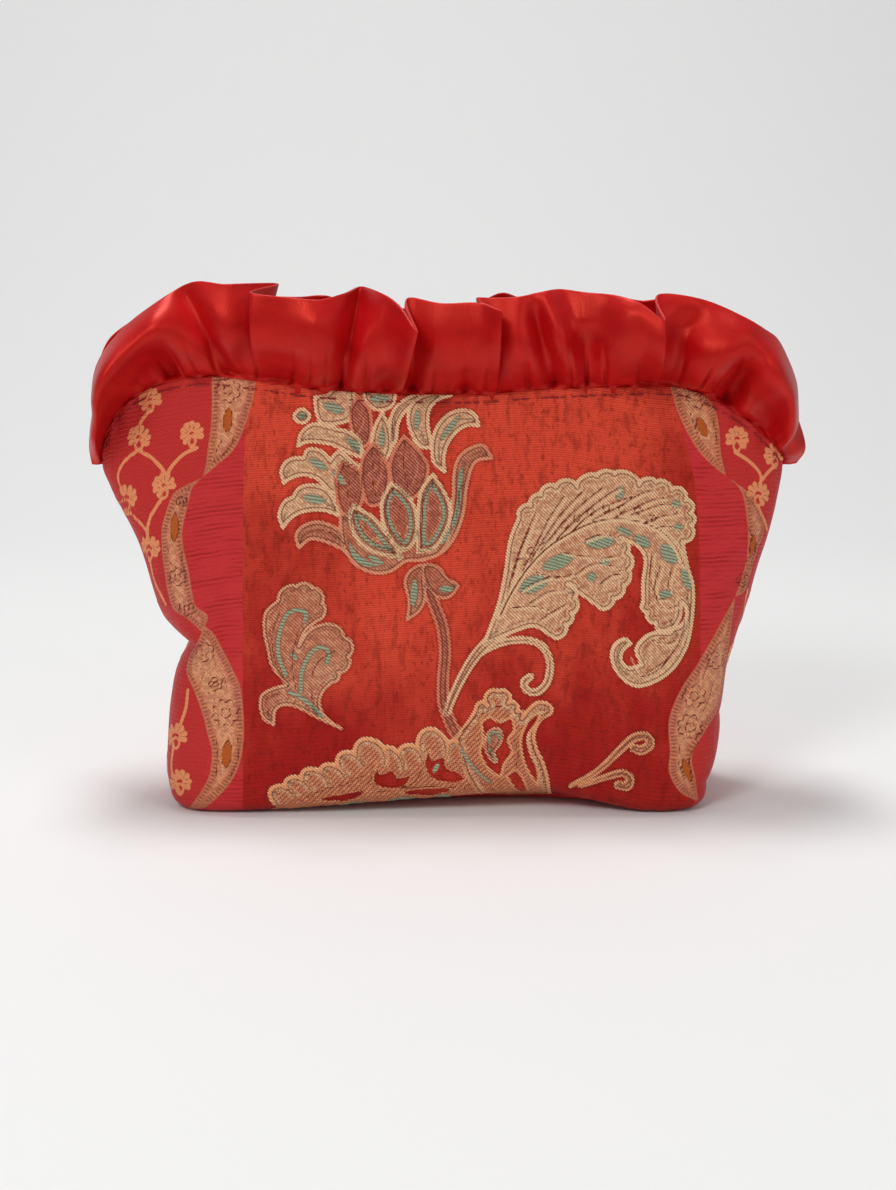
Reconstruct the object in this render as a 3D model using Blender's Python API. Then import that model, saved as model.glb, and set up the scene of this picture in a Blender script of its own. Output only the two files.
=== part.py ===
"""Makeup pouch of lined brocade, with a gathered satin frill on each side of its top zip.

Metres, +Z up, -Y towards the front. The origin is on the surface that the pouch stands on,
under the middle of the pouch. The zip is closed, with its slider at the +X end.
"""

import math

import bmesh
import bpy
import numpy as np

MM = 0.001

# Pouch shape. Each pair is (height, half size) in millimetres, from the base to the mouth.
LEFT_OUTLINE = (
    (0, 82), (12, 84), (30, 83.8), (48, 85.5), (60, 87.5), (75, 91.2), (86, 96), (94, 100), (100, 101.8),
    (135, 102),
)
RIGHT_OUTLINE = (
    (0, 76.5), (8, 79), (20, 81), (40, 83), (50, 86), (60, 89.4), (70, 92.1), (80, 95.2), (90, 97.4),
    (100, 98.6), (135, 99),
)
DEPTH_PROFILE = ((0, 28), (14, 29.5), (32, 28.5), (52, 26), (75, 21), (100, 15.5), (115, 12.5), (135, 10.5))
# (height in millimetres, corner exponent): 2 is an ellipse, 5 is nearly a box
SQUARENESS = ((0, 6.5), (30, 4.6), (60, 3.1), (90, 2.8), (135, 3.0))
# Height of the mouth seam in millimetres, against the place across from -1, left, to 1, right
MOUTH_LINE = (
    (-1, 99.5), (-0.98, 102.5), (-0.94, 111.5), (-0.89, 118.6), (-0.84, 122.4), (-0.75, 126), (-0.66, 127.2),
    (-0.54, 126), (-0.34, 123.4), (-0.11, 122.2), (0.06, 122), (0.26, 123.4), (0.55, 124.3), (0.64, 124.1),
    (0.7, 122.6), (0.76, 119.8), (0.86, 113.2), (0.91, 108.4), (0.95, 104.5), (0.98, 101.5), (1, 99.5),
)
# The boxed sides fold in here: (side, height, depth, reach above, reach below) in millimetres
SIDE_PINCHES = ((-1, 48, 10, 4.5, 8), (1, 8, 2.5, 4, 5), (1, 28, 1, 3, 3))
PINCH_STARTS = 0.55  # across, on that side
# The front edge of the base lifts off the table between the corners: (across, lift in millimetres)
FRONT_LIFT = (
    (-1, 0), (-0.82, 0), (-0.4, 1.8), (0, 4.2), (0.28, 5.5), (0.45, 3.2), (0.62, 0.6), (0.75, 0), (1, 0),
)
BACK_LIFT = ((-1, 0), (-0.75, 0), (-0.3, 2.6), (0.1, 3.6), (0.5, 1.6), (0.75, 0), (1, 0))
# The panel is drawn in where its base edge lifts: depth at the edge, and how far up it fades
RECESS = 6.5 * MM
RECESS_FADE = 22 * MM
# Soft valleys across a panel: (facing, across from, across to, height from, height to, depth, width)
VALLEYS = (
    (-1, -0.98, -0.42, 51, 56, 3.6, 6.5),
    (-1, -0.1, 0.5, 38, 46, 1.2, 9),
    (1, 0.98, 0.35, 30, 50, 2.6, 8),
    (1, -0.98, -0.45, 50, 58, 2.8, 7),
)
VALLEY_FADE = 0.35  # share of a valley's length from which it runs out
VALLEY_EDGE = 0.86  # across, from which it runs out towards the side seam
FOOT_RADIUS = 4 * MM
BASE_LENGTH = 66 * MM  # half the length of the base seam
FLAT_SHARE = 0.4  # part of the base, from its seam outwards, that is flat on the table
SEAM_GAP = 0.3 * MM

BROCADE = 1.5 * MM  # brocade with its padded interlining
LINING_GAP = 1.2 * MM
LINING = 0.5 * MM
LINING_DROP = 2 * MM  # the lining ends this far under the sewn edge of the zip tape
LINING_SLACK = 6 * MM  # it bridges folds this much wider than the panel's own

SECTION_STEPS = 60
EVEN_SHARE = 0.35  # the rest of the columns' spacing closes up towards the side seams
SHARP_EDGE = 50  # degrees
PANEL_COLUMNS = 30
LINING_COLUMNS = 14
BASE_STEPS = (0, 0.4, 0.7, 1)
EDGE_STEPS = 3
# Heights of the lower rows of points in millimetres; the rest are spaced evenly up to the mouth
WALL_LEVELS = (15, 26, 37, 44, 48, 52.5, 62)
UPPER_STEPS = 4
LINING_LEVELS = (20, 34, 48, 57, 70)
LINING_UPPER_STEPS = 2

# Frill. Each row is (root along the seam, rim's shift along it, lean to the front, height):
# millimetres from the middle of the seam, millimetres, degrees, millimetres. Where the shift
# turns back, the satin folds over itself.
FRILL_FOLDS = (
    (-115, 0, 20, 3), (-111, 1, 32, 4), (-106, 1, 44, 5.5), (-100, 1, 46, 8.5), (-95, -1, 40, 11.5),
    (-90, -2, 28, 15), (-84, -2, 20, 18.5), (-76, -3, 12, 22), (-66, -6, 6, 26.5), (-61, -4, 12, 27),
    (-57, -2, 8, 27.5), (-54.5, 4, 0, 28), (-53, -4, 28, 29), (-48, 1, 28, 29), (-40, 2, 26, 29),
    (-32, 2, 15, 29), (-25, 0, -2, 29.5), (-20, 2, 16, 29.5), (-16, 3, 32, 30), (-13, 5, 52, 31.5),
    (-11, 0, 12, 28), (-4, 2.5, 20, 28), (8, 2.5, 22, 28.5), (14, 3.5, 34, 29), (16, -5, 10, 28),
    (19, -2.5, 14, 28), (24, -1.5, 18, 28.5), (34, -2.5, 6, 28.5), (42, -1.5, 14, 28), (49, -0.5, 20, 28),
    (55, -1, 30, 28), (60, -0.5, 44, 28), (61.5, -3, 14, 27), (67, 0, 14, 26.5), (74, 1, 16, 25.5),
    (81, -3, 16, 25), (86, -5, 12, 24), (90, -5, 12, 21), (95, -4.5, 14, 17), (99, -4, 18, 13),
    (102, -4, 26, 10), (103.5, -6, 4, 9), (106, -1, 18, 7), (109, 0, 12, 4),
)
FRILL_BACK_SLIDE = 0.7  # the back frill's folds turn over less than those of the front one
FRILL_BACK_LEAN = 13  # degrees that it falls outwards more
FRILL_BACK_DROP = 3  # millimetres that it stands shorter, and up to twice that past FRILL_BEND
FRILL_BEND = (74, 94)  # millimetres along the seam over which it turns down the side
FRILL_SEAM = 1.0 * MM  # thickness where it is gathered and sewn
FRILL_RIM = 1.3 * MM  # thickness at its folded top edge
FRILL_BULGE = 2.6 * MM
FRILL_LEAN_START = 1.25  # above 1 the satin rises from the seam before it leans
PUCKER_PITCH = 8 * MM
PUCKER_WANDER = 1.3  # radians that the gathers drift from an even pitch
PUCKER_DRIFT = 9 * MM  # along the seam for each radian of that drift's own wave
PUCKER_DEPTH = 0.8 * MM
PUCKER_FADE = 0.3  # share of the frill's height
FRILL_FREE = 0.7  # share of its height from which its folds turn freely
CREASE_SOFTENING = 3  # passes that thin the frill where it is creased
FRILL_END_GAP = 1 * MM  # from the side seam to the end of the frill
FRILL_END_FADE = 12 * MM  # length at each end over which the gathers start
SEAM_REACH = 4 * MM  # each way along the seam, to find its direction
FRILL_COLUMNS = 96
CURVE_FINENESS = 12  # points worked out for each column
FRILL_HEIGHTS = (0, 0.14, 0.38, 0.7, 1)
FRILL_CLEARANCE = 0.5 * MM  # from the middle plane, which keeps the two frills apart at their ends

# Zip. Heights are measured up from the top of its tape.
MOUTH_CORNER = 0.6  # across, where the mouth starts to turn down
TAPE_SET = 2.4 * MM  # below the lowest point of the mouth between its corners
TAPE_TOP = min(height for across, height in MOUTH_LINE if abs(across) < MOUTH_CORNER) * MM - TAPE_SET
TAPE = 0.6 * MM
TAPE_SLOT = 1.6 * MM
TAPE_DROP = 2 * MM  # sewn edge of the tape below the mouth seam
TAPE_RISE = 2.4 * MM  # most that the sewn edge stands above the level stretch
TAPE_END = 0.92  # across
TAPE_GAP = 0.6 * MM  # to the panel that it is sewn to
TAPE_SINK = 2.6 * MM  # inner edge below the seam where the tape turns down at the corners
TAPE_FLAT = 4.5 * MM  # half width of the level stretch that the slider runs on
TAPE_COLUMNS = 22
RUNNING_GAP = 0.3 * MM
CHAIN_START = -78 * MM
CHAIN_END = 66 * MM
TOOTH_PITCH = 4.2 * MM
TOOTH = 2.3 * MM
COIL_HEIGHT = 1.6 * MM
COIL_WIDTH = 2 * MM
COIL_SPINE = 0.8 * MM
STOP_LENGTH = 2 * MM
STOP_HEIGHT = 2 * MM
SLIDER_SETBACK = 2 * MM  # from the slider to the chain's end when the zip is closed

SLIDER_LENGTH = 12 * MM
SLIDER_PLATE = 1.2 * MM
SLIDER_WEB = 0.6 * MM
SLIDER_LIP = 0.9 * MM
LIP_CLEARANCE = 0.4 * MM
SLIDER_REST = CHAIN_END - SLIDER_SETBACK - SLIDER_LENGTH / 2
BRIDGE_ROOM = 2.6 * MM
BRIDGE_BAR = 1.0 * MM
BRIDGE_WIDTH = 1.6 * MM
BRIDGE_LENGTH = 7.6 * MM

ARC_STEPS = 8
PULL_LENGTH = 23 * MM
PULL_WIDTH = 6.4 * MM
PULL_THICK = 1.0 * MM
PULL_WINDOW = 5.4 * MM
PULL_ARM = 1.5 * MM
PULL_HOLE = 1.5 * MM
REST_CLEARANCE = 0.3 * MM

BROCADE_RED = (0.48, 0.045, 0.030, 1)
SATIN_RED = (0.55, 0.012, 0.018, 1)
LINING_RED = (0.36, 0.015, 0.020, 1)
TAPE_RED = (0.40, 0.012, 0.016, 1)
COIL_RED = (0.45, 0.020, 0.022, 1)
GOLD = (0.78, 0.58, 0.27, 1)


def clear_scene():
    for item in list(bpy.data.objects):
        bpy.data.objects.remove(item, do_unlink=True)


def material(name, colour, roughness, metallic=0.0):
    made = bpy.data.materials.new(name)
    made.use_nodes = True
    shader = made.node_tree.nodes["Principled BSDF"]
    shader.inputs["Base Color"].default_value = colour
    shader.inputs["Roughness"].default_value = roughness
    shader.inputs["Metallic"].default_value = metallic
    return made


def through(points, where):
    """A smooth curve through (x, y) pairs that doesn't overshoot them."""
    xs, ys = np.array(points, float).T
    gaps = np.diff(xs)
    rises = np.diff(ys) / gaps
    slopes = np.zeros(len(xs))
    turning = rises[:-1] * rises[1:] <= 0
    mean = 2 * rises[:-1] * rises[1:] / np.where(turning, 1, rises[:-1] + rises[1:])
    slopes[1:-1] = np.where(turning, 0, mean)
    slopes[0], slopes[-1] = rises[0], rises[-1]
    where = np.clip(where, xs[0], xs[-1])
    i = np.clip(np.searchsorted(xs, where) - 1, 0, len(gaps) - 1)
    t = (where - xs[i]) / gaps[i]
    start = ys[i] * (1 + 2 * t) * (1 - t) ** 2 + slopes[i] * gaps[i] * t * (1 - t) ** 2
    end = ys[i + 1] * (3 - 2 * t) * t**2 - slopes[i + 1] * gaps[i] * (1 - t) * t**2
    return start + end


def ease(low, high, value):
    t = np.clip((value - low) / (high - low), 0, 1)
    return t * t * (3 - 2 * t)


def quarter_section(share, half_width, half_depth, squareness):
    """A point on a quarter of a rounded section, at a share of its length from the side seam."""
    angle = np.linspace(0, math.pi / 2, SECTION_STEPS + 1)
    power = squareness[:, None]
    reach = (np.cos(angle) ** power + np.sin(angle) ** power) ** (-1 / power)
    x = half_width[:, None] * reach * np.cos(angle)
    y = half_depth[:, None] * reach * np.sin(angle)
    steps = np.hypot(np.diff(x, axis=1), np.diff(y, axis=1))
    length = np.concatenate([np.zeros((len(x), 1)), np.cumsum(steps, axis=1)], axis=1)
    length /= length[:, -1:]
    after = np.clip((length < share[:, None]).sum(axis=1), 1, len(angle) - 1)
    row = np.arange(len(x))
    low, high = length[row, after - 1], length[row, after]
    t = (share - low) / (high - low)
    return (
        x[row, after - 1] * (1 - t) + x[row, after] * t,
        y[row, after - 1] * (1 - t) + y[row, after] * t,
    )


def side_pinch(across, height, slack):
    """How far the folded-in side moves towards the middle."""
    moved = np.zeros_like(height)
    for side, level, depth, above, below in SIDE_PINCHES:
        off = height / MM - level
        near = np.exp(-np.abs(off) / (np.where(off > 0, above, below) + slack / MM))
        moved -= side * depth * MM * near * ease(PINCH_STARTS, 1, across * side)
    return moved


def hollow(across, height, facing, slack):
    """How far the panel lies behind its smooth section: its soft valleys and drawn-in base edge."""
    lift = FRONT_LIFT if facing < 0 else BACK_LIFT
    most = max(value for _, value in lift)
    deep = RECESS * through(lift, across) / most * np.exp(-((height / (RECESS_FADE + slack)) ** 2))
    for side, start, end, start_height, end_height, depth, width in VALLEYS:
        if side != facing:
            continue
        along = np.clip((across - start) / (end - start), 0, 1)
        off = height / MM - (start_height + (end_height - start_height) * along)
        fade = (1 - ease(VALLEY_FADE, 1, along)) * ease(1, VALLEY_EDGE, np.abs(across))
        deep += depth * MM * np.exp(-((off / (width + slack / MM)) ** 2)) * fade
    return deep


def shell_point(across, height, inset, facing, slack=0.0):
    """(x, y) on the pouch's wall. inset 0 is the outside, and more is deeper into the wall."""
    left, right = through(LEFT_OUTLINE, height / MM), through(RIGHT_OUTLINE, height / MM)
    half_width = np.where(across < 0, left, right) * MM - inset
    half_depth = through(DEPTH_PROFILE, height / MM) * MM - inset
    squareness = through(SQUARENESS, height / MM)
    x, y = quarter_section(1 - np.abs(across), half_width, half_depth, squareness)
    x = x * np.sign(across) + side_pinch(across, height, slack)
    y = np.maximum(y - hollow(across, height, facing, slack), 0)
    return x, facing * (y + SEAM_GAP / 2)


def mouth_height(across):
    return through(MOUTH_LINE, across) * MM


def sewn_height(across):
    """Height at which the zip tape is sewn to the panel."""
    return np.minimum(mouth_height(across) - TAPE_DROP, TAPE_TOP + TAPE_RISE)


def wall_rows(across, inset, facing, levels, upper_steps, top, slack=0.0):
    """Rows of points from the base seam, over the base edge and up the wall to its top."""
    lift = through(FRONT_LIFT if facing < 0 else BACK_LIFT, across) * MM
    radius = FOOT_RADIUS - inset
    edge_x, edge_y = shell_point(across, lift + inset, inset + radius, facing, slack)
    rows = []
    for step in BASE_STEPS:
        x = (1 - step) * across * BASE_LENGTH + step * edge_x
        y = facing * SEAM_GAP / 2 + step * (edge_y - facing * SEAM_GAP / 2)
        z = inset + lift * ease(FLAT_SHARE, 1, np.full_like(across, step))
        rows.append(np.stack([x, y, z], axis=1))
    for step in range(1, EDGE_STEPS + 1):
        turn = math.pi / 2 * step / EDGE_STEPS
        z = lift + inset + radius * (1 - math.cos(turn))
        x, y = shell_point(across, z, inset + radius * (1 - math.sin(turn)), facing, slack)
        rows.append(np.stack([x, y, z], axis=1))
    heights = [np.full_like(across, level * MM) for level in levels]
    rise = top - heights[-1]
    heights += [heights[-1] + rise * step / upper_steps for step in range(1, upper_steps + 1)]
    for z in heights:
        x, y = shell_point(across, z, inset, facing, slack)
        rows.append(np.stack([x, y, z], axis=1))
    return np.array(rows)


def spread_across(columns):
    """Places across a panel, closer together towards its side seams."""
    even = np.linspace(-1, 1, columns + 1)
    return EVEN_SHARE * even + (1 - EVEN_SHARE) * np.sin(even * math.pi / 2)


def link(name, mesh, look):
    made = bpy.data.objects.new(name, mesh)
    made.data.materials.append(look)
    bpy.context.scene.collection.objects.link(made)
    return made


def thick_sheet(name, outer, inner, look, smooth=True):
    """A closed sheet between two grids of points, bridged round its four edges."""
    rows, columns = outer.shape[:2]
    work = bmesh.new()
    skins = [[[work.verts.new(p) for p in row] for row in grid] for grid in (outer, inner)]
    for i in range(rows - 1):
        for j in range(columns - 1):
            for skin in skins:
                work.faces.new((skin[i][j], skin[i][j + 1], skin[i + 1][j + 1], skin[i + 1][j]))
    border = [(0, j) for j in range(columns)] + [(i, columns - 1) for i in range(1, rows)]
    border += [(rows - 1, j) for j in range(columns - 2, -1, -1)] + [(i, 0) for i in range(rows - 2, 0, -1)]
    edges = [[skin[i][j] for i, j in border] for skin in skins]
    for here in range(len(border)):
        after = (here + 1) % len(border)
        work.faces.new((edges[0][here], edges[0][after], edges[1][after], edges[1][here]))
    bmesh.ops.recalc_face_normals(work, faces=work.faces)
    mesh = bpy.data.meshes.new(name)
    work.to_mesh(mesh)
    work.free()
    if smooth:
        mesh.shade_smooth()
        mesh.set_sharp_from_angle(angle=math.radians(SHARP_EDGE))
    return link(name, mesh, look)


def panel(name, facing, look):
    across = spread_across(PANEL_COLUMNS)
    rows = (WALL_LEVELS, UPPER_STEPS, mouth_height(across))
    skins = [wall_rows(across, inset, facing, *rows) for inset in (0, BROCADE)]
    return thick_sheet(name, *skins, look)


def lining(name, facing, look):
    across = spread_across(LINING_COLUMNS)
    start = BROCADE + LINING_GAP
    rows = (LINING_LEVELS, LINING_UPPER_STEPS, sewn_height(across) - LINING_DROP, LINING_SLACK)
    skins = [wall_rows(across, inset, facing, *rows) for inset in (start, start + LINING)]
    return thick_sheet(name, *skins, look)


def mouth_path(facing):
    """The panel's top edge as points, with each one's distance along it from the middle."""
    across = spread_across(PANEL_COLUMNS)
    height = mouth_height(across)
    x, y = shell_point(across, height, 0, facing)
    points = np.stack([x, y, height], axis=1)
    steps = np.linalg.norm(np.diff(points, axis=0), axis=1)
    along = np.concatenate([[0], np.cumsum(steps)])
    return points, along - np.interp(0, x, along)


def on_path(path, along):
    points, lengths = path
    return np.stack([np.interp(along, lengths, points[:, i]) for i in range(3)], axis=1)


def seam_frame(path, along):
    """Unit vectors along the seam, and outwards from it in the plane of the pouch."""
    lengths = path[1]
    before = on_path(path, np.clip(along - SEAM_REACH, lengths[0], lengths[-1]))
    after = on_path(path, np.clip(along + SEAM_REACH, lengths[0], lengths[-1]))
    tangent = (after - before) * (1, 0, 1)
    tangent /= np.linalg.norm(tangent, axis=1, keepdims=True)
    outward = np.stack([-tangent[:, 2], np.zeros(len(along)), tangent[:, 0]], axis=1)
    return tangent, outward


def smooth_path(points, samples):
    """A curve through points, sampled evenly by length, with the place in the list of each sample."""
    knots = np.concatenate([[0], np.cumsum(np.linalg.norm(np.diff(points, axis=0), axis=1) ** 0.5)])
    gaps = np.diff(knots)[:, None]
    rises = np.diff(points, axis=0) / gaps
    inner = (rises[:-1] * gaps[1:] + rises[1:] * gaps[:-1]) / (gaps[1:] + gaps[:-1])
    slopes = np.concatenate([rises[:1], inner, rises[-1:]])
    at = np.linspace(0, knots[-1], samples * CURVE_FINENESS)
    i = np.clip(np.searchsorted(knots, at) - 1, 0, len(gaps) - 1)
    t = ((at - knots[i]) / gaps[i, 0])[:, None]
    curve = points[i] * (1 + 2 * t) * (1 - t) ** 2 + points[i + 1] * (3 - 2 * t) * t**2
    curve += gaps[i] * (slopes[i] * t * (1 - t) ** 2 - slopes[i + 1] * (1 - t) * t**2)
    length = np.concatenate([[0], np.cumsum(np.linalg.norm(np.diff(curve, axis=0), axis=1))])
    even = np.linspace(0, length[-1], samples)
    place = np.interp(even, length, i + t[:, 0])
    return np.stack([np.interp(even, length, curve[:, k]) for k in range(3)], axis=1), place


def frill_middle(facing, columns, heights):
    """The middle surface of a gathered frill, from its seam to its rim."""
    path = mouth_path(facing)
    folds = np.array(FRILL_FOLDS, float)
    if facing > 0:
        folds = folds[::-1] * (-1, -FRILL_BACK_SLIDE, 1, 1) + (0, 0, FRILL_BACK_LEAN, 0)
        shorter = FRILL_BACK_DROP * (1 + ease(*FRILL_BEND, np.abs(folds[:, 0])))
        folds[:, 3] = np.maximum(folds[:, 3] - shorter, folds[:, 3].min())
    lengths = path[1]
    ends = [lengths[0] + FRILL_END_GAP, lengths[-1] - FRILL_END_GAP]
    root = np.interp(folds[:, 0], folds[[0, -1], 0], ends)
    tangent, outward = seam_frame(path, root)
    forward = np.array([0, facing, 0])
    lean = np.radians(folds[:, 2])[:, None]
    tall = folds[:, 3:4] * MM
    seated = np.array([0, -facing * BROCADE / 2, 0])
    start = on_path(path, root) + seated
    rim = start + tall * (np.cos(lean) * outward + np.sin(lean) * forward) + folds[:, 1:2] * MM * tangent
    rim, place = smooth_path(rim, columns + 1)
    at = through(np.stack([np.arange(len(root)), root / MM], axis=1), place) * MM
    start = on_path(path, at) + seated
    tangent, outward = seam_frame(path, at)
    reach = rim - start
    up = (reach * outward).sum(axis=1, keepdims=True)
    ahead = reach @ forward
    slide = (reach * tangent).sum(axis=1, keepdims=True)
    inside = ease(0, FRILL_END_FADE, np.minimum(at - lengths[0], lengths[-1] - at))
    drift = PUCKER_WANDER * np.sin(at / PUCKER_DRIFT)
    wave = np.sin(2 * math.pi * at / PUCKER_PITCH + drift) * inside
    rows = []
    for share in heights:
        lag = share**FRILL_LEAN_START
        pucker = PUCKER_DEPTH * wave * math.exp(-((share / PUCKER_FADE) ** 2))
        bulge = FRILL_BULGE * math.sin(math.pi * share) * (1 - share) * inside
        out = ahead * lag + pucker + bulge
        point = start + outward * (SEAM_GAP + up * share) + tangent * slide * lag
        rows.append(point + out[:, None] * forward)
    return np.array(rows)


def grid_normals(grid, heights):
    """The frill's normals: straight to the front near its seam, and shorter where it is creased."""
    normal = np.cross(np.gradient(grid, axis=1), np.gradient(grid, axis=0))
    normal /= np.linalg.norm(normal, axis=2, keepdims=True)
    free = ease(0, FRILL_FREE, heights)[:, None, None]
    normal = normal * free + np.array([0, -1, 0]) * (1 - free)
    normal /= np.linalg.norm(normal, axis=2, keepdims=True)
    soft = normal.copy()
    for _ in range(CREASE_SOFTENING):
        soft[:, 1:-1] = (soft[:, :-2] + 2 * soft[:, 1:-1] + soft[:, 2:]) / 4
    return soft


def frill(name, facing, look):
    heights = np.array(FRILL_HEIGHTS)
    middle = frill_middle(facing, FRILL_COLUMNS, heights)
    normal = grid_normals(middle, heights)
    half = (FRILL_SEAM + (FRILL_RIM - FRILL_SEAM) * heights)[:, None, None] / 2
    middle[..., 1] = facing * np.maximum(middle[..., 1] * facing, FRILL_CLEARANCE + half[..., 0])
    return thick_sheet(name, middle + half * normal, middle - half * normal, look)


def tape(name, facing, look):
    across = np.linspace(-TAPE_END, TAPE_END, TAPE_COLUMNS + 1)
    seam = sewn_height(across)
    x, y = shell_point(across, seam, BROCADE + TAPE_GAP, facing)
    inner_top = np.minimum(TAPE_TOP, mouth_height(across) - TAPE_SINK)
    inner = np.stack([x, np.full_like(x, facing * TAPE_SLOT / 2), inner_top], axis=1)
    bend_y = facing * np.minimum(TAPE_FLAT, (np.abs(y) + TAPE_SLOT / 2) / 2)
    bend = np.stack([x, bend_y, inner_top], axis=1)
    outer = np.stack([x, y, seam], axis=1)
    top = np.array([inner, bend, outer])
    return thick_sheet(name, top, top - (0, 0, TAPE), look, smooth=False)


def extrude(name, outline, lift, look):
    """A solid from a flat outline of 3D points, moved along lift."""
    work = bmesh.new()
    face = work.faces.new([work.verts.new(p) for p in outline])
    made = bmesh.ops.extrude_face_region(work, geom=[face])
    bmesh.ops.translate(work, vec=lift, verts=[v for v in made["geom"] if isinstance(v, bmesh.types.BMVert)])
    bmesh.ops.recalc_face_normals(work, faces=work.faces)
    mesh = bpy.data.meshes.new(name)
    work.to_mesh(mesh)
    work.free()
    return link(name, mesh, look)


def block(name, low, high, look):
    (x0, y0, z0), (x1, y1, z1) = low, high
    return extrude(name, [(x0, y0, z0), (x1, y0, z0), (x1, y1, z0), (x0, y1, z0)], (0, 0, z1 - z0), look)


def coil(name, facing, look):
    """One side of the zip's coil: a spine with its turns standing towards the middle slot."""
    base = TAPE_TOP + RUNNING_GAP
    tip = SLIDER_WEB / 2 + RUNNING_GAP
    back = tip + COIL_WIDTH
    neck = back - COIL_SPINE
    shift = TOOTH_PITCH / 2 if facing > 0 else 0
    count = int((CHAIN_END - CHAIN_START - shift - TOOTH) / TOOTH_PITCH) + 1
    outline = [(CHAIN_START, facing * back, base)]
    for turn in range(count):
        start = CHAIN_START + shift + turn * TOOTH_PITCH
        for x, y in ((start, neck), (start, tip), (start + TOOTH, tip), (start + TOOTH, neck)):
            outline.append((x, facing * y, base))
    if shift:
        outline.insert(1, (CHAIN_START, facing * neck, base))
    outline += [(CHAIN_END, facing * neck, base), (CHAIN_END, facing * back, base)]
    return extrude(name, outline, (0, 0, COIL_HEIGHT), look)


def stops(look):
    """Two top stops beside the slider's rest, and one bottom stop across both tapes."""
    base = TAPE_TOP + RUNNING_GAP
    near = SLIDER_WEB / 2 + RUNNING_GAP
    far = near + COIL_WIDTH
    start = CHAIN_END + RUNNING_GAP
    for name, low, high in (("zip_top_stop_front", -far, -near), ("zip_top_stop_back", near, far)):
        block(name, (start, low, base), (start + STOP_LENGTH, high, base + STOP_HEIGHT), look)
    end = CHAIN_START - RUNNING_GAP
    block("zip_bottom_stop", (end - STOP_LENGTH, -far, base), (end, far, base + STOP_HEIGHT), look)


def slider(look):
    """The slider: two plates joined by a web that runs in the slot, and a bridge for the pull."""
    half = SLIDER_LENGTH / 2
    inside = SLIDER_WEB / 2 + RUNNING_GAP + COIL_WIDTH + LIP_CLEARANCE
    outside = inside + SLIDER_LIP
    web = SLIDER_WEB / 2
    coil_top = TAPE_TOP + 2 * RUNNING_GAP + COIL_HEIGHT
    plate_top = coil_top + SLIDER_PLATE
    lip_foot = TAPE_TOP + RUNNING_GAP + LIP_CLEARANCE
    under = TAPE_TOP - TAPE - RUNNING_GAP
    section = [
        (-outside, under - SLIDER_PLATE), (outside, under - SLIDER_PLATE), (outside, under), (web, under),
        (web, coil_top), (inside, coil_top), (inside, lip_foot), (outside, lip_foot),
        (outside, plate_top), (-outside, plate_top), (-outside, lip_foot), (-inside, lip_foot),
        (-inside, coil_top), (-web, coil_top), (-web, under), (-outside, under),
    ]
    body = extrude("zip_slider", [(-half, y, z - TAPE_TOP) for y, z in section], (SLIDER_LENGTH, 0, 0), look)
    body.location = (SLIDER_REST, 0, TAPE_TOP)
    reach, low, high = BRIDGE_LENGTH / 2, plate_top - TAPE_TOP, plate_top - TAPE_TOP + BRIDGE_ROOM
    sunk = low - SLIDER_PLATE / 2
    inner = reach - BRIDGE_BAR
    arch = [
        (-reach, sunk), (-inner, sunk), (-inner, high), (inner, high), (inner, sunk), (reach, sunk),
        (reach, high), (inner, high + BRIDGE_BAR), (-inner, high + BRIDGE_BAR), (-reach, high),
    ]
    bridge = extrude("bridge", [(x, -BRIDGE_WIDTH / 2, z) for x, z in arch], (0, BRIDGE_WIDTH, 0), look)
    bridge.location = body.location
    bridge.hide_render = True
    bridge.display_type = "WIRE"
    union = body.modifiers.new("bridge", "BOOLEAN")
    union.operation = "UNION"
    union.object = bridge
    return plate_top + BRIDGE_ROOM / 2  # height of the pull's axis


def ring(count, radius, centre):
    turns = [2 * math.pi * i / count for i in range(count)]
    return [(centre + radius * math.cos(a), radius * math.sin(a)) for a in turns]


def pull_tab(axis_height, look):
    """The pull, with a window whose end bar turns under the slider's bridge."""
    bar = PULL_THICK / 2
    half = PULL_WIDTH / 2
    nose = PULL_LENGTH - half
    tip = [(-nose - half * math.sin(a), half * math.cos(a)) for a in np.linspace(0, math.pi, ARC_STEPS + 1)]
    outline = [(bar, -half), (bar, half)] + tip
    plate = extrude("zip_pull", [(x, y, -bar) for x, y in outline], (0, 0, PULL_THICK), look)
    slot = half - PULL_ARM
    low, high = (-bar - PULL_WINDOW, -slot, -PULL_THICK), (-bar, slot, PULL_THICK)
    cutters = [block("pull_window", low, high, look)]
    circle = ring(2 * ARC_STEPS, PULL_HOLE, -nose)
    drilled = [(x, y, -PULL_THICK) for x, y in circle]
    cutters.append(extrude("pull_hole", drilled, (0, 0, 2 * PULL_THICK), look))
    coil_top = TAPE_TOP + RUNNING_GAP + COIL_HEIGHT
    droop = math.asin((axis_height - coil_top - REST_CLEARANCE - bar) / (PULL_LENGTH - bar))
    for piece in [plate] + cutters:
        piece.location = (SLIDER_REST, 0, axis_height)
        piece.rotation_euler = (0, -droop, 0)
    for cutter in cutters:
        cutter.hide_render = True
        cutter.display_type = "WIRE"
        cut = plate.modifiers.new(cutter.name, "BOOLEAN")
        cut.operation = "DIFFERENCE"
        cut.object = cutter


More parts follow.
